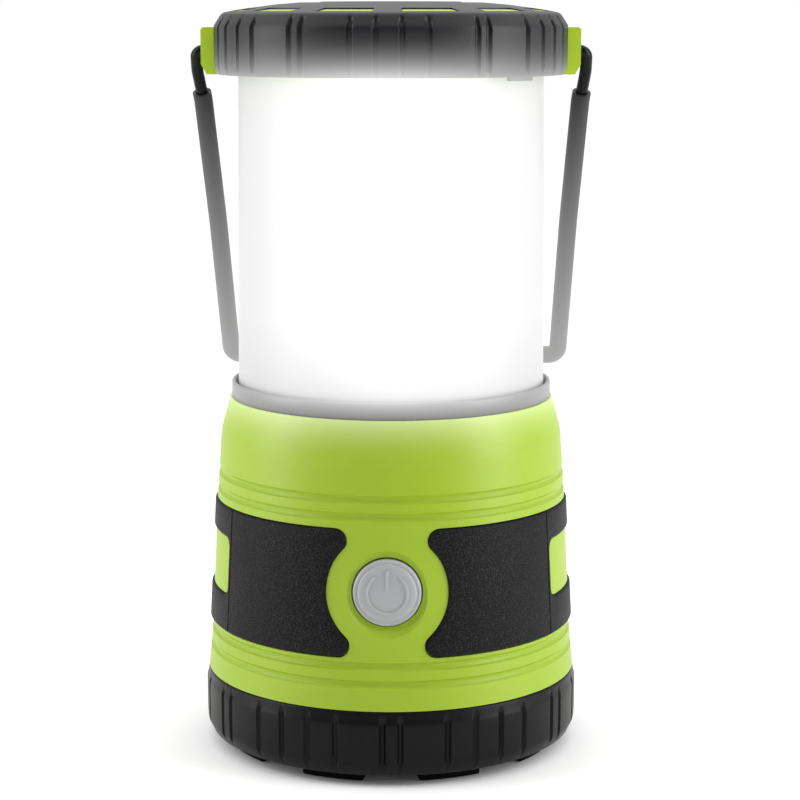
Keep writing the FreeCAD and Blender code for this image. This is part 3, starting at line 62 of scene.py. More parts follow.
bpy.context.scene.view_settings.view_transform = "Standard"

room = bpy.data.worlds.new("room")
bpy.context.scene.world = room
room.use_nodes = True
walls = room.node_tree
backdrop = walls.nodes["Background"]
backdrop.inputs["Color"].default_value = (1, 1, 1, 1)
backdrop.inputs["Strength"].default_value = 1.0
room_light = walls.nodes.new("ShaderNodeBackground")
room_way = walls.nodes.new("ShaderNodeTexCoord")
room_split = walls.nodes.new("ShaderNodeSeparateXYZ")
room_depth = walls.nodes.new("ShaderNodeMapRange")
room_depth.inputs["From Min"].default_value = -1.0
room_depth.inputs["From Max"].default_value = 0.6
room_depth.inputs["To Min"].default_value = 0.12
room_depth.inputs["To Max"].default_value = 1.0
room_ray = walls.nodes.new("ShaderNodeLightPath")
room_mix = walls.nodes.new("ShaderNodeMixShader")
walls.links.new(room_way.outputs["Generated"], room_split.inputs["Vector"])
walls.links.new(room_split.outputs["Y"], room_depth.inputs["Value"])
walls.links.new(room_depth.outputs["Result"], room_light.inputs["Strength"])
walls.links.new(room_ray.outputs["Is Camera Ray"], room_mix.inputs["Fac"])
walls.links.new(room_light.outputs["Background"], room_mix.inputs[1])
walls.links.new(backdrop.outputs["Background"], room_mix.inputs[2])
walls.links.new(room_mix.outputs["Shader"], walls.nodes["World Output"].inputs["Surface"])

bpy.ops.object.select_all(action="DESELECT")
bpy.ops.mesh.primitive_plane_add(size=8, location=(0, 0, -0.0002))
sweep = bpy.context.object
sweep.name = "floor"
paper = bpy.data.materials.new("paper")
paper.use_nodes = True
paper_tree = paper.node_tree
paper_skin = paper_tree.nodes["Principled BSDF"]
paper_skin.inputs["Base Color"].default_value = (0.9, 0.9, 0.9, 1)
paper_skin.inputs["Roughness"].default_value = 0.9
paper_skin.inputs["Specular IOR Level"].default_value = 0.1
paper_skin.inputs["Emission Color"].default_value = (1, 1, 1, 1)
paper_skin.inputs["Emission Strength"].default_value = 0.02
paper_side = paper_tree.nodes.new("ShaderNodeNewGeometry")
paper_clear = paper_tree.nodes.new("ShaderNodeBsdfTransparent")
paper_mix = paper_tree.nodes.new("ShaderNodeMixShader")
paper_out = paper_tree.nodes["Material Output"]
paper_tree.links.new(paper_side.outputs["Backfacing"], paper_mix.inputs["Fac"])
paper_tree.links.new(paper_skin.outputs["BSDF"], paper_mix.inputs[1])
paper_tree.links.new(paper_clear.outputs["BSDF"], paper_mix.inputs[2])
paper_tree.links.new(paper_mix.outputs["Shader"], paper_out.inputs["Surface"])
sweep.data.materials.append(paper)


def softbox(name, place, turn, wide, high, power):
    """Upright rectangular light, turned by three angles in degrees."""
    lamp = bpy.data.objects.new(name, bpy.data.lights.new(name, "AREA"))
    bpy.context.scene.collection.objects.link(lamp)
    lamp.data.shape = "RECTANGLE"
    lamp.data.size = wide
    lamp.data.size_y = high
    lamp.data.energy = power
    lamp.location = place
    lamp.rotation_euler = [math.radians(angle) for angle in turn]


softbox("left_light", (-0.62, -0.12, 0.28), (82, 0, -80), 0.35, 0.7, 3.3)
softbox("right_light", (0.62, -0.20, 0.28), (82, 0, 72), 0.35, 0.7, 4.4)
sky = bpy.data.objects.new("sky_light", bpy.data.lights.new("sky_light", "SUN"))
bpy.context.scene.collection.objects.link(sky)
sky.data.energy = 2.0
sky.data.angle = math.radians(100)
sky.rotation_euler = (math.radians(-12), 0, 0)

# ------------------------------------------------------------------ foot cover
# Ribbed cup that closes the battery bay: black injection-moulded plastic with a
# fine spark-eroded grain. Upright slits break its wall into ribs, and three lugs
# inside lock it to the neck.
MM = 0.001


def moulded(name, colour, rough, grain=0.6, depth=0.15, shade=0.06, gloss=0.5):
    """Moulded plastic or rubber: fine grain, uneven tone and uneven roughness."""
    finish = bpy.data.materials.new(name)
    finish.use_nodes = True
    tree = finish.node_tree
    skin = tree.nodes["Principled BSDF"]
    skin.inputs["Specular IOR Level"].default_value = gloss
    place = tree.nodes.new("ShaderNodeTexCoord")
    fine = tree.nodes.new("ShaderNodeTexNoise")
    fine.inputs["Scale"].default_value = 1 / (grain * MM)
    fine.inputs["Detail"].default_value = 3
    bump = tree.nodes.new("ShaderNodeBump")
    bump.inputs["Strength"].default_value = depth
    bump.inputs["Distance"].default_value = grain * MM * 0.3
    broad = tree.nodes.new("ShaderNodeTexNoise")
    broad.inputs["Scale"].default_value = 45
    broad.inputs["Detail"].default_value = 5
    tone = tree.nodes.new("ShaderNodeMix")
    tone.data_type = "RGBA"
    tone.inputs[6].default_value = [part * (1 - shade) for part in colour] + [1]
    tone.inputs[7].default_value = [min(1, part * (1 + shade)) for part in colour] + [1]
    sheen = tree.nodes.new("ShaderNodeMapRange")
    sheen.inputs["To Min"].default_value = rough - 0.05
    sheen.inputs["To Max"].default_value = rough + 0.07
    tree.links.new(place.outputs["Object"], fine.inputs["Vector"])
    tree.links.new(place.outputs["Object"], broad.inputs["Vector"])
    tree.links.new(fine.outputs["Fac"], bump.inputs["Height"])
    tree.links.new(bump.outputs["Normal"], skin.inputs["Normal"])
    tree.links.new(broad.outputs["Fac"], tone.inputs["Factor"])
    tree.links.new(tone.outputs[2], skin.inputs["Base Color"])
    tree.links.new(broad.outputs["Fac"], sheen.inputs["Value"])
    tree.links.new(sheen.outputs["Result"], skin.inputs["Roughness"])
    return finish


def dress(finish, *names):
    """Give frame pieces their material."""
    for name in names:
        nodes[name].data.materials.clear()
        nodes[name].data.materials.append(finish)


def pick(test, kind="VERT"):
    """Select what passes the test in edit mode. The test gets a place, and for
    a face its normal too."""
    bpy.ops.mesh.select_mode(type=kind)
    bpy.ops.mesh.select_all(action="DESELECT")
    shape = bmesh.from_edit_mesh(bpy.context.edit_object.data)
    if kind == "FACE":
        for face in shape.faces:
            face.select = test(face.calc_center_median() / MM, face.normal)
    elif kind == "EDGE":
        for edge in shape.edges:
            edge.select = test(edge.verts[0].co / MM, edge.verts[1].co / MM)
    else:
        for corner in shape.verts:
            corner.select = test(corner.co / MM)
    shape.select_flush_mode()
    bmesh.update_edit_mesh(bpy.context.edit_object.data)


def lathe(name, steps, segments, upright=True, level=0.0):
    """Turned shape: a circle at the first step, extruded and scaled from step to
    step, each (radius, place on the axis) in millimetres. An upright axis is the
    lantern's own; the other runs front to back at a level. Equal ends are
    merged, and an end of radius 0.01 closes to a point."""
    bpy.ops.object.select_all(action="DESELECT")
    first, start = steps[0]
    spot = Vector((0, 0, start)) if upright else Vector((0, start, level))
    lie = (0, 0, 0) if upright else (math.radians(90), 0, 0)
    bpy.ops.mesh.primitive_circle_add(vertices=segments, radius=first * MM,
                                      location=spot * MM, rotation=lie)
    piece = bpy.context.object
    piece.name = name
    bpy.ops.object.transform_apply(location=True, rotation=True, scale=True)
    bpy.ops.object.mode_set(mode="EDIT")
    bpy.ops.mesh.select_all(action="SELECT")
    for (radius, place), (after, beyond) in zip(steps, steps[1:]):
        ratio = after / radius
        step = Vector((0, 0, beyond - place)) if upright else Vector((0, beyond - place, 0))
        spot = spot + step
        grow = (ratio, ratio, 1) if upright else (ratio, 1, ratio)
        bpy.ops.mesh.extrude_edges_move(TRANSFORM_OT_translate={"value": step * MM})
        bpy.ops.transform.resize(value=grow, center_override=spot * MM)
    if after < 0.02:
        bpy.ops.mesh.merge(type="CENTER")
    if first < 0.02:
        pole = Vector((0, 0, start)) if upright else Vector((0, start, level))
        pick(lambda place: (place - pole).length < 0.03)
        bpy.ops.mesh.merge(type="CENTER")
    bpy.ops.mesh.select_all(action="SELECT")
    bpy.ops.mesh.remove_doubles(threshold=2e-6)
    bpy.ops.mesh.normals_make_consistent(inside=False)
    bpy.ops.object.mode_set(mode="OBJECT")
    return piece


def smoothed(piece, angle):
    """Shade a piece smooth where its faces meet at less than an angle."""
    bpy.ops.object.select_all(action="DESELECT")
    bpy.context.view_layer.objects.active = piece
    piece.select_set(True)
    bpy.ops.object.shade_smooth_by_angle(angle=math.radians(angle))


def azimuth(place):
    """Angle round the lantern in degrees, from the front towards the right."""
    return math.degrees(math.atan2(place.x, -place.y))


def press_slits(piece, turns, inner, wide, deep, low, high):
    """Press upright slits into a round wall outside an inner radius. They repeat
    every 60 degrees, are deepest in the middle and run out at both ends."""
    grades = 8
    radius = max(corner.co.x for corner in piece.data.vertices) / MM

    def depth(place):
        if math.hypot(place.x, place.y) < inner or not low < place.z < high:
            return 0
        aside = min(abs((azimuth(place) - turn + 30) % 60 - 30) for turn in turns)
        across = math.radians(aside) * radius / (wide / 2)
        if across >= 1:
            return 0
        ends = min(1, (place.z - low) / wide, (high - place.z) / wide)
        return (1 - across ** 3) * ends

    bpy.context.view_layer.objects.active = piece
    bpy.ops.object.mode_set(mode="EDIT")
    for grade in range(1, grades + 1):
        pick(lambda place: round(grades * depth(place)) == grade)
        ratio = 1 - deep * grade / grades / radius
        bpy.ops.transform.resize(value=(ratio, ratio, 1), center_override=(0, 0, 0))
    bpy.ops.object.mode_set(mode="OBJECT")


def cut_block(piece, middle, size):
    """Cut a rectangular recess into a piece, in millimetres."""
    bpy.ops.object.select_all(action="DESELECT")
    bpy.ops.mesh.primitive_cube_add(size=MM, location=Vector(middle) * MM, scale=size)
    tool = bpy.context.object
    bpy.ops.object.transform_apply(location=True, rotation=True, scale=True)
    bpy.context.view_layer.objects.active = piece
    cut = piece.modifiers.new("recess", "BOOLEAN")
    cut.operation = "DIFFERENCE"
    cut.solver = "EXACT"
    cut.object = tool
    bpy.ops.object.modifier_apply(modifier="recess")
    bpy.data.objects.remove(tool)


def finish_piece(piece, finish, body, *replaced):
    """Give a modelled piece its material and body, and hide what it stands for."""
    piece.data.materials.clear()
    piece.data.materials.append(finish)
    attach(piece, body)
    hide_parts(*replaced)


cover_low, cover_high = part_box("base_cover")
cover_rad = cover_high.x / MM
cover_under = cover_low.z / MM
cover_lip = cover_high.z / MM
cover_bore = cover_rad - 2.52
cover_sides = 1080
cover_slits = (-1.3, 3.9, 18.1, 26.9, 35.7, 44.5)
groove_in = 35.4
groove_out = 43.0
groove_deep = 1.3
deck_rad = 34.0
deck_top = 8.1
gutter_floor = 5.6
lug_first = 30
lug_half = 7
lug_low = 9.8
lug_high = 11.6
lug_root = 45.2
lug_rad = 43.9
hook_pocket = (20.8, 33.6, 10)
cover = lathe("foot_cover", [
    (0.01, cover_under),
    (groove_in, cover_under),
    (groove_in, cover_under + groove_deep),
    (groove_out, cover_under + groove_deep),
    (groove_out, cover_under),
    (cover_rad - 1.7, cover_under),
    (cover_rad - 1.3, cover_under + 0.25),
    (cover_rad - 0.75, cover_under + 1.4),
    (cover_rad - 0.3, cover_under + 2.3),
    (cover_rad - 0.12, cover_under + 3.0),
    (cover_rad - 0.06, cover_under + 4.2),
    (cover_rad, cover_under + 6.6),
    (cover_rad, cover_under + 10.0),
    (cover_rad, cover_lip - 3.3),
    (cover_rad - 0.06, cover_lip - 2.9),
    (cover_rad - 0.2, cover_lip - 2.4),
    (cover_rad - 0.4, cover_lip - 1.5),
    (cover_rad - 0.55, cover_lip - 0.5),
    (cover_rad - 0.62, cover_lip - 0.2),
    (cover_rad - 0.85, cover_lip),
    (cover_rad - 2.5, cover_lip),
    (cover_bore, lug_high),
    (cover_bore, lug_low),
    (cover_bore, gutter_floor),
    (deck_rad, gutter_floor),
    (deck_rad, deck_top),
    (0.01, deck_top),
], cover_sides)
bpy.ops.object.mode_set(mode="EDIT")
pick(lambda place, normal: lug_low < place.z < lug_high
     and abs(math.hypot(place.x, place.y) - cover_bore) < 0.2
     and abs((azimuth(place) - lug_first + 60) % 120 - 60) < lug_half, "FACE")
bpy.ops.mesh.extrude_region_move()
lug_ratio = lug_rad / lug_root
bpy.ops.transform.resize(value=(lug_ratio, lug_ratio, 1), center_override=(0, 0, 0))
bpy.ops.object.mode_set(mode="OBJECT")
press_slits(cover, cover_slits, inner=45.4, wide=1.5, deep=0.75, low=4.3, high=17.3)
cut_block(cover, (0, -0.2, 1.7), hook_pocket)
smoothed(cover, 38)
black = moulded("black_plastic", (0.0030, 0.0030, 0.0033), 0.34, 0.5, 0.25, 0.12, 0.14)
finish_piece(cover, black, "cover", "base_cover")

# ------------------------------------------------------- foot ring and its hook
# Soft rubber ring pressed into the groove under the cover, with nine pads that
# the lantern stands on, and the wire loop that folds out to hang it upside down.
foot_rubber = moulded("foot_rubber", (0.0022, 0.0022, 0.0024), 0.7, 0.35, 0.5, 0.15, 0.06)
painted = moulded("steel_wire", (0.0025, 0.0025, 0.003), 0.22, 0.9, 0.08, 0.1, 0.15)
dress(foot_rubber, "foot_ring")
dress(black, "hook_block")
dress(painted, "base_hook")

# ------------------------------------------------- contacts, cells and their cage
# Nickel-plated brass plate with three arched leaf springs under the cells and
# three plus contacts above them. The cells are steel cans in a printed sleeve,
# standing in a cage of three black tubes.


def metal(name, colour, rough, drawn=(1, 1, 1), marks=0.08):
    """Bare or plated metal: fine marks drawn out along an axis, uneven gloss."""
    finish = bpy.data.materials.new(name)
    finish.use_nodes = True
    tree = finish.node_tree
    skin = tree.nodes["Principled BSDF"]
    skin.inputs["Metallic"].default_value = 1.0
    place = tree.nodes.new("ShaderNodeTexCoord")
    stretch = tree.nodes.new("ShaderNodeMapping")
    stretch.inputs["Scale"].default_value = drawn
    marks_fine = tree.nodes.new("ShaderNodeTexNoise")
    marks_fine.inputs["Scale"].default_value = 900
    marks_fine.inputs["Detail"].default_value = 4
    stain = tree.nodes.new("ShaderNodeTexNoise")
    stain.inputs["Scale"].default_value = 90
    tone = tree.nodes.new("ShaderNodeMix")
    tone.data_type = "RGBA"
    tone.inputs[6].default_value = [part * (1 - 2 * marks) for part in colour] + [1]
    tone.inputs[7].default_value = list(colour) + [1]
    gloss = tree.nodes.new("ShaderNodeMapRange")
    gloss.inputs["To Min"].default_value = max(0.05, rough - 0.12)
    gloss.inputs["To Max"].default_value = rough + 0.12
    bump = tree.nodes.new("ShaderNodeBump")
    bump.inputs["Strength"].default_value = 0.15
    bump.inputs["Distance"].default_value = 0.05 * MM
    tree.links.new(place.outputs["Object"], stretch.inputs["Vector"])
    tree.links.new(stretch.outputs["Vector"], marks_fine.inputs["Vector"])
    tree.links.new(place.outputs["Object"], stain.inputs["Vector"])
    tree.links.new(stain.outputs["Fac"], tone.inputs["Factor"])
    tree.links.new(tone.outputs[2], skin.inputs["Base Color"])
    tree.links.new(marks_fine.outputs["Fac"], gloss.inputs["Value"])
    tree.links.new(gloss.outputs["Result"], skin.inputs["Roughness"])
    tree.links.new(marks_fine.outputs["Fac"], bump.inputs["Height"])
    tree.links.new(bump.outputs["Normal"], skin.inputs["Normal"])
    return finish


def banded(finish, stops, low, high):
    """Colour a finish in bands by height, between two heights in millimetres."""
    tree = finish.node_tree
    place = tree.nodes.new("ShaderNodeTexCoord")
    split = tree.nodes.new("ShaderNodeSeparateXYZ")
    share = tree.nodes.new("ShaderNodeMapRange")
    share.inputs["From Min"].default_value = low * MM
    share.inputs["From Max"].default_value = high * MM
    bands = tree.nodes.new("ShaderNodeValToRGB")
    bands.color_ramp.interpolation = "CONSTANT"
    bands.color_ramp.elements.remove(bands.color_ramp.elements[1])
    for number, (share_up, colour) in enumerate(stops):
        if number == 0:
            stop = bands.color_ramp.elements[0]
            stop.position = share_up
        else:
            stop = bands.color_ramp.elements.new(share_up)
        stop.color = colour + (1,)
    tree.links.new(place.outputs["Object"], split.inputs["Vector"])
    tree.links.new(split.outputs["Z"], share.inputs["Value"])
    tree.links.new(share.outputs["Result"], bands.inputs["Fac"])
    tree.links.new(bands.outputs["Color"], tree.nodes["Principled BSDF"].inputs["Base Color"])


nickel = metal("nickel_contact", (0.62, 0.58, 0.50), 0.28, (1, 6, 1))
cans = metal("cell_steel", (0.60, 0.60, 0.62), 0.3, (1, 1, 8))
cell_low, cell_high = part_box("battery_cells")
can_end = (0.55, 0.55, 0.57)
sleeve_black = (0.012, 0.013, 0.016)
sleeve_copper = (0.62, 0.30, 0.10)
banded(cans, [(0.0, can_end), (0.02, sleeve_black), (0.70, sleeve_copper), (0.95, can_end)],
       cell_low.z / MM, cell_high.z / MM)
dress(nickel, "spring_plate", "contact_springs", "plus_contacts")
dress(cans, "battery_cells")
dress(black, "cell_cage")

# -------------------------------------------------------------------- seal rings
# Two silicone rubber cords, one in the neck's groove and one under the globe.
dress(moulded("seal_rubber", (0.05, 0.05, 0.055), 0.6, 0.3, 0.35, 0.1, 0.3),
      "cover_seal", "globe_seal")

# ------------------------------------------------------------ body shell and core
# Lime green ABS in a fine satin grain. The shell's shoulder just under the collar
# is painted paler, a painted glow as if the lamp lit it from above.


def paint_glow(finish, dark, bright, power, strength, colour, sides=0.0):
    """Paint a glow onto a finish as emission: none at one height, most at the other,
    and less towards the lantern's left and right sides."""
    side_reach = 44
    tree = finish.node_tree
    skin = tree.nodes["Principled BSDF"]
    skin.inputs["Emission Color"].default_value = colour + (1,)
    place = tree.nodes.new("ShaderNodeTexCoord")
    split = tree.nodes.new("ShaderNodeSeparateXYZ")
    rise = tree.nodes.new("ShaderNodeMapRange")
    rise.inputs["From Min"].default_value = dark * MM
    rise.inputs["From Max"].default_value = bright * MM
    bend = tree.nodes.new("ShaderNodeMath")
    bend.operation = "POWER"
    bend.inputs[1].default_value = power
    aside = tree.nodes.new("ShaderNodeMath")
    aside.operation = "ABSOLUTE"
    fade = tree.nodes.new("ShaderNodeMapRange")
    fade.interpolation_type = "SMOOTHSTEP"
    fade.inputs["From Max"].default_value = side_reach * MM
    fade.inputs["To Min"].default_value = strength
    fade.inputs["To Max"].default_value = strength * (1 - sides)
    total = tree.nodes.new("ShaderNodeMath")
    total.operation = "MULTIPLY"
    tree.links.new(place.outputs["Object"], split.inputs["Vector"])
    tree.links.new(split.outputs["Z"], rise.inputs["Value"])
    tree.links.new(rise.outputs["Result"], bend.inputs[0])
    tree.links.new(split.outputs["X"], aside.inputs[0])
    tree.links.new(aside.outputs[0], fade.inputs["Value"])
    tree.links.new(bend.outputs[0], total.inputs[0])
    tree.links.new(fade.outputs["Result"], total.inputs[1])
    tree.links.new(total.outputs[0], skin.inputs["Emission Strength"])


shell_low, shell_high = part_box("body_shell")
shell_top = shell_high.z / MM
green = moulded("green_plastic", (0.276, 0.405, 0.011), 0.40, 0.35, 0.05, 0.03, 0.4)
# Painted glow: the shell pales towards its top, as if lit by the lamp.
paint_glow(green, shell_top - 15, shell_top, 3.6, 0.30, (1.0, 0.96, 0.95))
# The cap core is the shell's green painted lighter, against the shade it sits in under the black
# cap.
green_painted_lighter = moulded("green_core_painted_lighter", (0.40, 0.55, 0.020), 0.40, 0.35, 0.05, 0.03, 0.4)
dress(green, "body_shell")
dress(green_painted_lighter, "cap_core")

# --------------------------------------------------------------------- grip pads
# Two rubber pads let into the shell, one on each side. Each is moulded flat with
# a soft edge, a window in its middle and two parting lines, and wraps the cone
# of the body. Its ends run round the button in a scoop between two noses.
pad_low, pad_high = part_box("grip_pad_right")
pad_bottom = pad_low.z / MM
pad_top = pad_high.z / MM
pad_rad_low = pad_high.x / MM
pad_taper = 1.68
pad_rad_high = pad_rad_low - pad_taper
pad_reach = (pad_rad_low + pad_rad_high) / 2
pad_half = pad_reach * math.pi / 2
button_low, button_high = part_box("power_button")
button_mid = (button_low.z + button_high.z) / 2 / MM
scoop = 15.2
nose = 2.7
pad_thick = 1.65
pad_edge = 0.55
cut_step = 1.6
line_half = 0.3
line_deep = 0.35
gap_half = 22.7
gap_low = 41.0
gap_high = 55.8
gap_round = 2.5
gap_side = pad_half - gap_half + gap_round


def arc_points(x, y, radius, start, end, count):
    """Points on an arc in the flat pad, its angles in degrees."""
    points = []
    for number in range(count + 1):
        angle = math.radians(start + (end - start) * number / count)
        points.append((x + radius * math.cos(angle), y + radius * math.sin(angle)))
    return points


rise_high = pad_top - nose - button_mid
rise_low = pad_bottom + nose - button_mid
nose_high = math.sqrt((scoop + nose) ** 2 - rise_high ** 2)
nose_low = math.sqrt((scoop + nose) ** 2 - rise_low ** 2)
lean_high = math.degrees(math.atan2(rise_high, nose_high))
lean_low = math.degrees(math.atan2(rise_low, nose_low))
rim = [(pad_half, pad_top)]
rim += arc_points(nose_high, pad_top - nose, nose, 90, 180 + lean_high, 8)
rim += arc_points(0, button_mid, scoop, lean_high, lean_low, 26)[1:-1]
rim += arc_points(nose_low, pad_bottom + nose, nose, 180 + lean_low, 270, 8)
rim += [(pad_half, pad_bottom), (pad_half, gap_low)]
rim += arc_points(gap_side, gap_low + gap_round, gap_round, 270, 180, 6)
rim += arc_points(gap_side, gap_high - gap_round, gap_round, 180, 90, 6)
rim += [(pad_half, gap_high)]

flat = bpy.data.meshes.new("grip_pad")
sheet = bmesh.new()
front = [sheet.verts.new((x * MM, y * MM, 0)) for x, y in rim]
back = [sheet.verts.new(((2 * pad_half - x) * MM, y * MM, 0)) for x, y in rim]
sheet.faces.new(front)
sheet.faces.new(back[::-1])
sheet.to_mesh(flat)
sheet.free()
right_pad = bpy.data.objects.new("grip_right", flat)
bpy.context.scene.collection.objects.link(right_pad)
bpy.ops.object.select_all(action="DESELECT")
bpy.context.view_layer.objects.active = right_pad
right_pad.select_set(True)
bpy.ops.object.mode_set(mode="EDIT")
bpy.ops.mesh.select_all(action="SELECT")
bpy.ops.mesh.remove_doubles(threshold=1e-6)
bpy.ops.mesh.extrude_region_move(TRANSFORM_OT_translate={"value": (0, 0, -pad_thick * MM)})
bpy.ops.mesh.select_all(action="SELECT")
bpy.ops.mesh.normals_make_consistent(inside=False)


def on_line(place, line):
    """Whether a corner of the flat pad lies on an upright line."""
    return abs(place.x - line) < 0.02


pick(lambda one, other: min(one.z, other.z) > -0.01 and not
     (on_line(one, pad_half) and on_line(other, pad_half)), "EDGE")
bpy.ops.mesh.bevel(offset=pad_edge * MM, segments=4, profile=0.5, clamp_overlap=True)
parting = (pad_half * 2 / 3, pad_half * 4 / 3)
cuts = [cut_step * number for number in range(1, int(2 * pad_half / cut_step))]
for line in parting:
    cuts += [line - line_half, line, line + line_half]
for line in cuts:
    bpy.ops.mesh.select_all(action="SELECT")
    bpy.ops.mesh.bisect(plane_co=(line * MM, 0, 0), plane_no=(1, 0, 0))
pick(lambda place: place.z > -0.7 and any(on_line(place, line) for line in parting))
bpy.ops.transform.translate(value=(0, 0, -line_deep * MM))
bpy.ops.object.mode_set(mode="OBJECT")


def wrapped(place, turned):
    """Where a point of the flat pad lies on the body's cone, turned round it."""
    share = (place.y / MM - pad_bottom) / (pad_top - pad_bottom)
    radius = (pad_rad_low + (pad_rad_high - pad_rad_low) * share) * MM + place.z
    angle = place.x / MM / pad_reach + turned
    return Vector((radius * math.sin(angle), -radius * math.cos(angle), place.y))


left_pad = right_pad.copy()
left_pad.data = right_pad.data.copy()
left_pad.name = "grip_left"
bpy.context.scene.collection.objects.link(left_pad)
grip_rubber = moulded("grip_rubber", (0.0036, 0.0035, 0.0040), 0.5, 0.5, 1.0, 0.25, 0.11)
fleck_size = 0.36
fleck_colour = (0.026, 0.0255, 0.029, 1)
grip_tree = grip_rubber.node_tree
fleck_place = grip_tree.nodes.new("ShaderNodeTexCoord")
flecks = grip_tree.nodes.new("ShaderNodeTexNoise")
flecks.inputs["Scale"].default_value = 1 / (fleck_size * MM)
flecks.inputs["Detail"].default_value = 2
fleck_share = grip_tree.nodes.new("ShaderNodeMapRange")
fleck_share.inputs["From Min"].default_value = 0.5
fleck_share.inputs["From Max"].default_value = 0.72
flecked = grip_tree.nodes.new("ShaderNodeMix")
flecked.data_type = "RGBA"
flecked.inputs[7].default_value = fleck_colour
grip_skin = grip_tree.nodes["Principled BSDF"]
plain_tone = grip_skin.inputs["Base Color"].links[0].from_socket
grip_tree.links.new(fleck_place.outputs["Object"], flecks.inputs["Vector"])
grip_tree.links.new(flecks.outputs["Fac"], fleck_share.inputs["Value"])
grip_tree.links.new(fleck_share.outputs["Result"], flecked.inputs["Factor"])
grip_tree.links.new(plain_tone, flecked.inputs[6])
grip_tree.links.new(flecked.outputs[2], grip_skin.inputs["Base Color"])
for pad, turned, node in ((right_pad, 0, "grip_pad_right"), (left_pad, math.pi, "grip_pad_left")):
    for corner in pad.data.vertices:
        corner.co = wrapped(corner.co, turned)
    smoothed(pad, 40)
    finish_piece(pad, grip_rubber, "body", node)

# ------------------------------------------------------- power button and switch
# Translucent grey silicone button with a stepped rim and the usual sign for
# power in low relief. Behind it are a tact switch on its board and a retainer.
button_face = button_low.y / MM + 0.25
button_rad = 8.25
flange_rad = 9.8
flange_front = button_face + 4.5
flange_back = button_face + 5.7
stem_rad = 2.4
stem_end = button_face + 8.9
mark_in = 4.55
mark_out = 5.25
mark_root = button_face + 0.4
mark_edge = button_face - 0.15
mark_top = button_face - 0.25
mark_gap = 34
stroke_size = (0.8, 0.6, 4.9)
stroke_up = 3.25
button = lathe("button", [
    (0.01, button_face),
    (2.5, button_face + 0.01),
    (4.8, button_face + 0.06),
    (6.2, button_face + 0.17),
    (6.8, button_face + 0.30),
    (7.05, button_face + 0.48),
    (7.15, button_face + 0.66),
    (7.35, button_face + 0.72),
    (7.7, button_face + 0.62),
    (8.0, button_face + 0.68),
    (8.2, button_face + 0.92),
    (button_rad, button_face + 1.3),
    (button_rad, flange_front),
    (flange_rad, flange_front),
    (flange_rad, flange_back),
    (stem_rad, flange_back),
    (stem_rad, stem_end),
    (0.01, stem_end),
], 128, False, button_mid)
mark = lathe("mark", [
    (mark_in, mark_root),
    (mark_in, mark_edge),
    (mark_in + 0.15, mark_top),
    (mark_out - 0.15, mark_top),
    (mark_out, mark_edge),
    (mark_out, mark_root),
    (mark_in, mark_root),
], 144, False, button_mid)
bpy.ops.object.mode_set(mode="EDIT")
pick(lambda place, normal: place.z - button_mid > 0
     and abs(place.x) < (place.z - button_mid) * math.tan(math.radians(mark_gap)), "FACE")
bpy.ops.mesh.delete(type="FACE")
bpy.ops.mesh.select_all(action="SELECT")
bpy.ops.mesh.fill_holes(sides=0)
bpy.ops.object.mode_set(mode="OBJECT")
bpy.ops.object.select_all(action="DESELECT")
stroke_mid = Vector((0, button_face + 0.05, button_mid + stroke_up))
bpy.ops.mesh.primitive_cube_add(size=MM, scale=stroke_size, location=stroke_mid * MM)
stroke = bpy.context.object
bpy.ops.object.transform_apply(location=True, rotation=True, scale=True)
bpy.ops.object.mode_set(mode="EDIT")
bpy.ops.mesh.select_all(action="SELECT")
bpy.ops.mesh.bevel(offset=0.15 * MM, segments=3)
bpy.ops.object.mode_set(mode="OBJECT")
bpy.ops.object.select_all(action="DESELECT")
for piece in (stroke, mark, button):
    piece.select_set(True)
bpy.context.view_layer.objects.active = button
bpy.ops.object.join()
smoothed(button, 40)
silicone = moulded("button_silicone", (0.355, 0.370, 0.372), 0.42, 0.5, 0.08, 0.05, 0.35)
silicone_skin = silicone.node_tree.nodes["Principled BSDF"]
silicone_skin.inputs["Subsurface Weight"].default_value = 0.35
silicone_skin.inputs["Subsurface Radius"].default_value = (0.0015, 0.0015, 0.0018)
silicone_skin.inputs["Subsurface Scale"].default_value = 0.8
finish_piece(button, silicone, "button", "power_button")


def board(name, mask, trace):
    """Circuit board: solder mask with fine copper tracks under it."""
    finish = moulded(name, mask, 0.35, 0.4, 0.05, 0.05, 0.5)
    tree = finish.node_tree
    place = tree.nodes.new("ShaderNodeTexCoord")
    tracks = tree.nodes.new("ShaderNodeTexBrick")
    tracks.inputs["Scale"].default_value = 260
    tracks.inputs["Mortar Size"].default_value = 0.03
    tracks.inputs["Color1"].default_value = mask + (1,)
    tracks.inputs["Color2"].default_value = [part * 0.85 for part in mask] + [1]
    tracks.inputs["Mortar"].default_value = trace + (1,)
    tree.links.new(place.outputs["Object"], tracks.inputs["Vector"])
    tree.links.new(tracks.outputs["Color"], tree.nodes["Principled BSDF"].inputs["Base Color"])
    return finish


zinc = metal("zinc_screw", (0.66, 0.67, 0.70), 0.3)
dress(board("circuit_board", (0.012, 0.10, 0.035), (0.06, 0.22, 0.07)),
      "switch_board", "driver_board")
dress(metal("switch_metal", (0.58, 0.58, 0.60), 0.35), "tact_switch")
dress(black, "switch_plunger", "switch_retainer", "bay_roof")
dress(zinc, "retainer_screws", "roof_screws", "lamp_screws", "cap_screws")

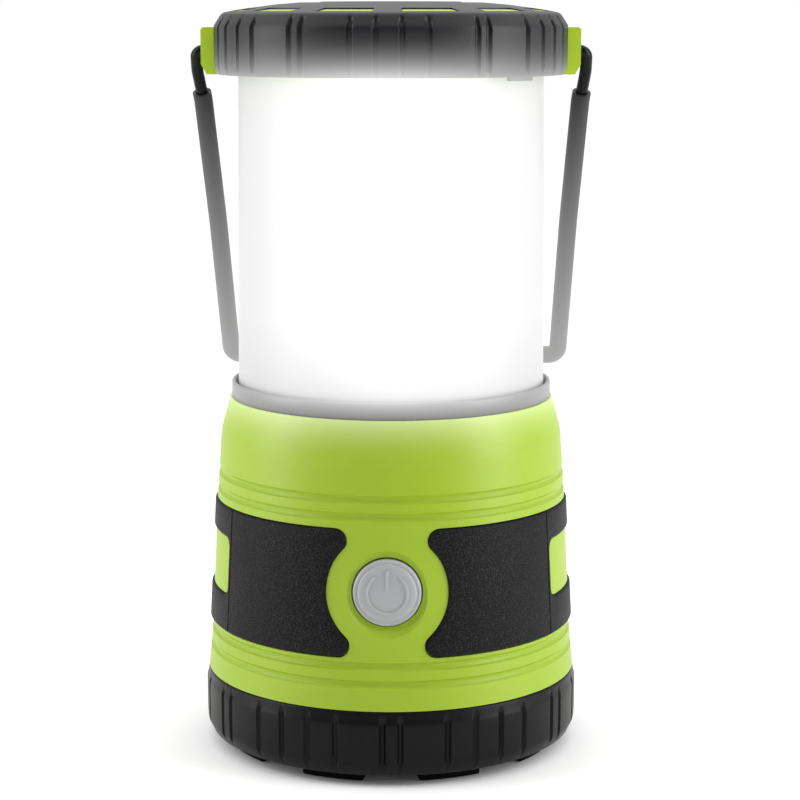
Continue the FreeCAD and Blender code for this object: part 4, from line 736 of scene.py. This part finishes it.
# -------------------------------------------------------------------------- lamp
# White aluminium-core board with six warm phosphor chips on a finned heat sink,
# under a clear polycarbonate lens. Red and black leads come up from the driver.
dress(metal("sink_aluminium", (0.72, 0.73, 0.75), 0.38, (1, 1, 5)), "heat_sink")
dress(board("white_board", (0.78, 0.78, 0.76), (0.66, 0.66, 0.62)), "lamp_board")
phosphor = moulded("lamp_phosphor", (0.82, 0.62, 0.12), 0.5, 0.2, 0.2, 0.08, 0.4)
phosphor_skin = phosphor.node_tree.nodes["Principled BSDF"]
phosphor_skin.inputs["Emission Color"].default_value = (1.0, 0.93, 0.78, 1)
phosphor_skin.inputs["Emission Strength"].default_value = 1.5
dress(phosphor, "lamp_chips")
lens = moulded("clear_lens", (0.93, 0.94, 0.95), 0.14, 0.8, 0.04, 0.01, 0.5)
lens.node_tree.nodes["Principled BSDF"].inputs["Transmission Weight"].default_value = 0.95
dress(lens, "lamp_lens")
dress(moulded("chip_black", (0.015, 0.015, 0.016), 0.45, 0.2, 0.3, 0.1, 0.4), "driver_parts")
dress(moulded("lead_red", (0.45, 0.015, 0.012), 0.4, 0.4, 0.1, 0.08, 0.4), "lead_red")
dress(moulded("lead_black", (0.012, 0.012, 0.013), 0.4, 0.4, 0.1, 0.08, 0.4), "lead_black")

# ------------------------------------------------------------------------ collar
# Thin ring of translucent grey plastic round the foot of the globe. Its spigot
# is pressed into the shell, and its upper edge is painted with a glow, as if the globe lit it.
collar_low, collar_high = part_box("globe_collar")
collar_rad = collar_high.x / MM
collar_top = collar_high.z / MM
collar_foot = collar_low.z / MM
spigot_in = 39.2
spigot_out = 39.8
lip_in = 39.6
collar = lathe("collar", [
    (spigot_in, collar_foot),
    (spigot_out, collar_foot),
    (spigot_out, shell_top),
    (collar_rad - 0.12, shell_top),
    (collar_rad, shell_top + 0.15),
    (collar_rad, collar_top - 0.5),
    (collar_rad - 0.1, collar_top - 0.2),
    (collar_rad - 0.35, collar_top),
    (lip_in + 0.15, collar_top),
    (lip_in, collar_top - 0.15),
    (lip_in, shell_top + 0.8),
    (spigot_in, shell_top + 0.4),
    (spigot_in, collar_foot),
], 256)
smoothed(collar, 40)
collar_plastic = moulded("collar_plastic", (0.19, 0.19, 0.19), 0.35, 0.5, 0.08, 0.04, 0.35)
# Painted glow on the collar's upper edge, weaker towards the left and right sides.
paint_glow(collar_plastic, shell_top - 0.5, collar_top, 1.6, 0.46, (1, 1, 1), 0.75)
finish_piece(collar, collar_plastic, "body", "globe_collar")

# ------------------------------------------------------------------------- globe
# Slightly tapered tube of frosted polycarbonate, glued into the cap. It glows white
# with the lamp's light, with painted shade towards its foot and its left and right sides.
globe_low, globe_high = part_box("globe")
globe_foot = globe_low.z / MM
globe_end = globe_high.z / MM
globe_rad = globe_high.x / MM
globe_waist = 131.5
globe_neck = 170.0
globe = lathe("frosted_tube", [
    (globe_rad - 1.9, globe_foot),
    (globe_rad - 0.15, globe_foot),
    (globe_rad, globe_foot + 0.2),
    (globe_rad, collar_top),
    (globe_rad - 0.35, globe_waist),
    (globe_rad - 0.7, globe_neck),
    (globe_rad - 0.7, globe_end),
    (globe_rad - 2.7, globe_end),
    (globe_rad - 2.7, globe_neck),
    (globe_rad - 2.35, globe_waist),
    (globe_rad - 2.0, collar_top),
    (globe_rad - 1.9, globe_foot),
], 256)
smoothed(globe, 40)
frosted = moulded("frosted_globe", (0.42, 0.42, 0.42), 0.45, 0.5, 0.06, 0.015, 0.3)
# The glow stands for the lamp's light; its fade towards the foot and the sides is painted shade.
paint_glow(frosted, collar_top - 14, collar_top + 18, 0.7, 0.80, (1.0, 1.0, 1.0), 0.86)
finish_piece(globe, frosted, "shade", "globe")

# --------------------------------------------------------------------- cap cover
# Soft black rubber over the green core: a low dome with a blank raised disc,
# twelve windows that show the core, a chamfered rim and a skirt that slits break
# into ribs. A thumb tab hangs from its edge, and the lower half is painted with a glow, as if the
# globe lit it.
cap_low, cap_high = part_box("cap_cover")
cap_rad = cap_high.y / MM
cap_top = cap_high.z / MM
cap_lip = 169.9
cap_skin = 2.3
cap_roof = 182
cap_sides = 1080
cap_slits = (-11.6, -3.45, 4.65, 12.8, 28.6, 32.6)
disc_rad = 17.3
flat_rad = 23.0
window_in = 35.2
window_out = 40.0
window_half = 10
window_first = 15
window_step = 30
tab_turn = 47.2
tab_half = 5.2
tab_drop = 0.9
boss_out = 44
boss_mid = 171.6
boss_gate = (9, 13, 20)
cap = lathe("cap", [
    (0.01, cap_top),
    (9.0, cap_top),
    (disc_rad, cap_top),
    (disc_rad + 0.25, cap_top - 0.06),
    (disc_rad + 0.45, cap_top - 0.2),
    (flat_rad, cap_top - 0.22),
    (29.0, cap_top - 0.72),
    (window_in, cap_top - 1.55),
    (window_out, cap_top - 2.3),
    (40.9, cap_top - 2.48),
    (41.6, cap_top - 2.68),
    (42.15, cap_top - 3.0),
    (42.55, cap_top - 3.5),
    (43.0, cap_top - 4.2),
    (43.45, cap_top - 4.9),
    (43.75, cap_top - 5.4),
    (44.0, cap_top - 5.85),
    (cap_rad, cap_top - 6.4),
    (cap_rad, cap_top - 7.6),
    (cap_rad, 178.5),
    (cap_rad, 176.0),
    (cap_rad, 173.5),
    (cap_rad, 172.3),
    (cap_rad - 0.08, 171.7),
    (cap_rad - 0.22, 171.1),
    (cap_rad - 0.42, 170.5),
    (cap_rad - 0.62, 170.1),
    (cap_rad - 0.85, cap_lip),
    (cap_rad - cap_skin, cap_lip),
    (cap_rad - cap_skin, 181.0),
    (40.55, 182.6),
    (window_out, cap_top - 4.95),
    (window_in, cap_top - 4.25),
    (flat_rad, cap_top - 2.55),
    (0.01, cap_top - 2.55),
], cap_sides)
bpy.ops.object.mode_set(mode="EDIT")


def in_window(place):
    """Between the windows' inner and outer radius, and inside one of them."""
    radius = math.hypot(place.x, place.y)
    aside = abs(azimuth(place) % window_step - window_first)
    return window_in < radius < window_out and aside < window_half


pick(lambda place, normal: place.z > cap_roof and in_window(place), "FACE")
bpy.ops.mesh.delete(type="FACE")
for number in range(12):
    middle = window_first + window_step * number

    def near(one, other):
        """Whether an edge lies on or inside the window being closed."""
        place = (one + other) / 2
        radius = math.hypot(place.x, place.y)
        aside = abs((azimuth(place) - middle + 180) % 360 - 180)
        return aside < window_half + 0.3 and window_in - 0.1 < radius < window_out + 0.1

    pick(near, "EDGE")
    shape = bmesh.from_edit_mesh(cap.data)
    for edge in shape.edges:
        edge.select = edge.select and edge.is_boundary
    bmesh.update_edit_mesh(cap.data)
    bpy.ops.mesh.bridge_edge_loops()

pick(lambda place, normal: abs(azimuth(place) - tab_turn) < tab_half and place.z < 170
     and math.hypot(place.x, place.y) > 41.9, "FACE")
bpy.ops.mesh.extrude_region_move(TRANSFORM_OT_translate={"value": (0, 0, -tab_drop * MM)})
bpy.ops.object.mode_set(mode="OBJECT")
for side in (-1, 1):
    cut_block(cap, (side * boss_out, 0, boss_mid), boss_gate)
press_slits(cap, cap_slits, inner=42.2, wide=1.6, deep=0.85, low=170.0, high=184.4)
smoothed(cap, 38)
cap_rubber = moulded("black_rubber", (0.0080, 0.0077, 0.0094), 0.42, 0.45, 0.35, 0.12, 0.34)
# Painted glow on the skirt's lower half, weaker towards the left and right sides.
paint_glow(cap_rubber, 182.5, cap_lip - 0.3, 2.9, 0.74, (1, 1, 1), 0.55)
finish_piece(cap, cap_rubber, "shade", "cap_cover")
dress(moulded("reflector_white", (0.82, 0.82, 0.80), 0.3, 0.6, 0.06, 0.02, 0.5), "cap_reflector")

# -------------------------------------------------------------------------- bail
# Painted steel wire with a soft sleeve over its arms and cross bar. The sleeve is
# painted with a glow that grows the lower it hangs, as if the globe lit it.
bail_low, bail_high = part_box("bail_grip")
sleeve = moulded("grip_sleeve", (0.012, 0.0117, 0.0127), 0.5, 0.5, 0.5, 0.12, 0.28)
# Painted glow on the sleeve, strongest where it hangs lowest.
paint_glow(sleeve, bail_high.z / MM + 2, bail_low.z / MM, 1.15, 0.38, (1, 1, 1))
dress(sleeve, "bail_grip")
dress(painted, "bail_wire")
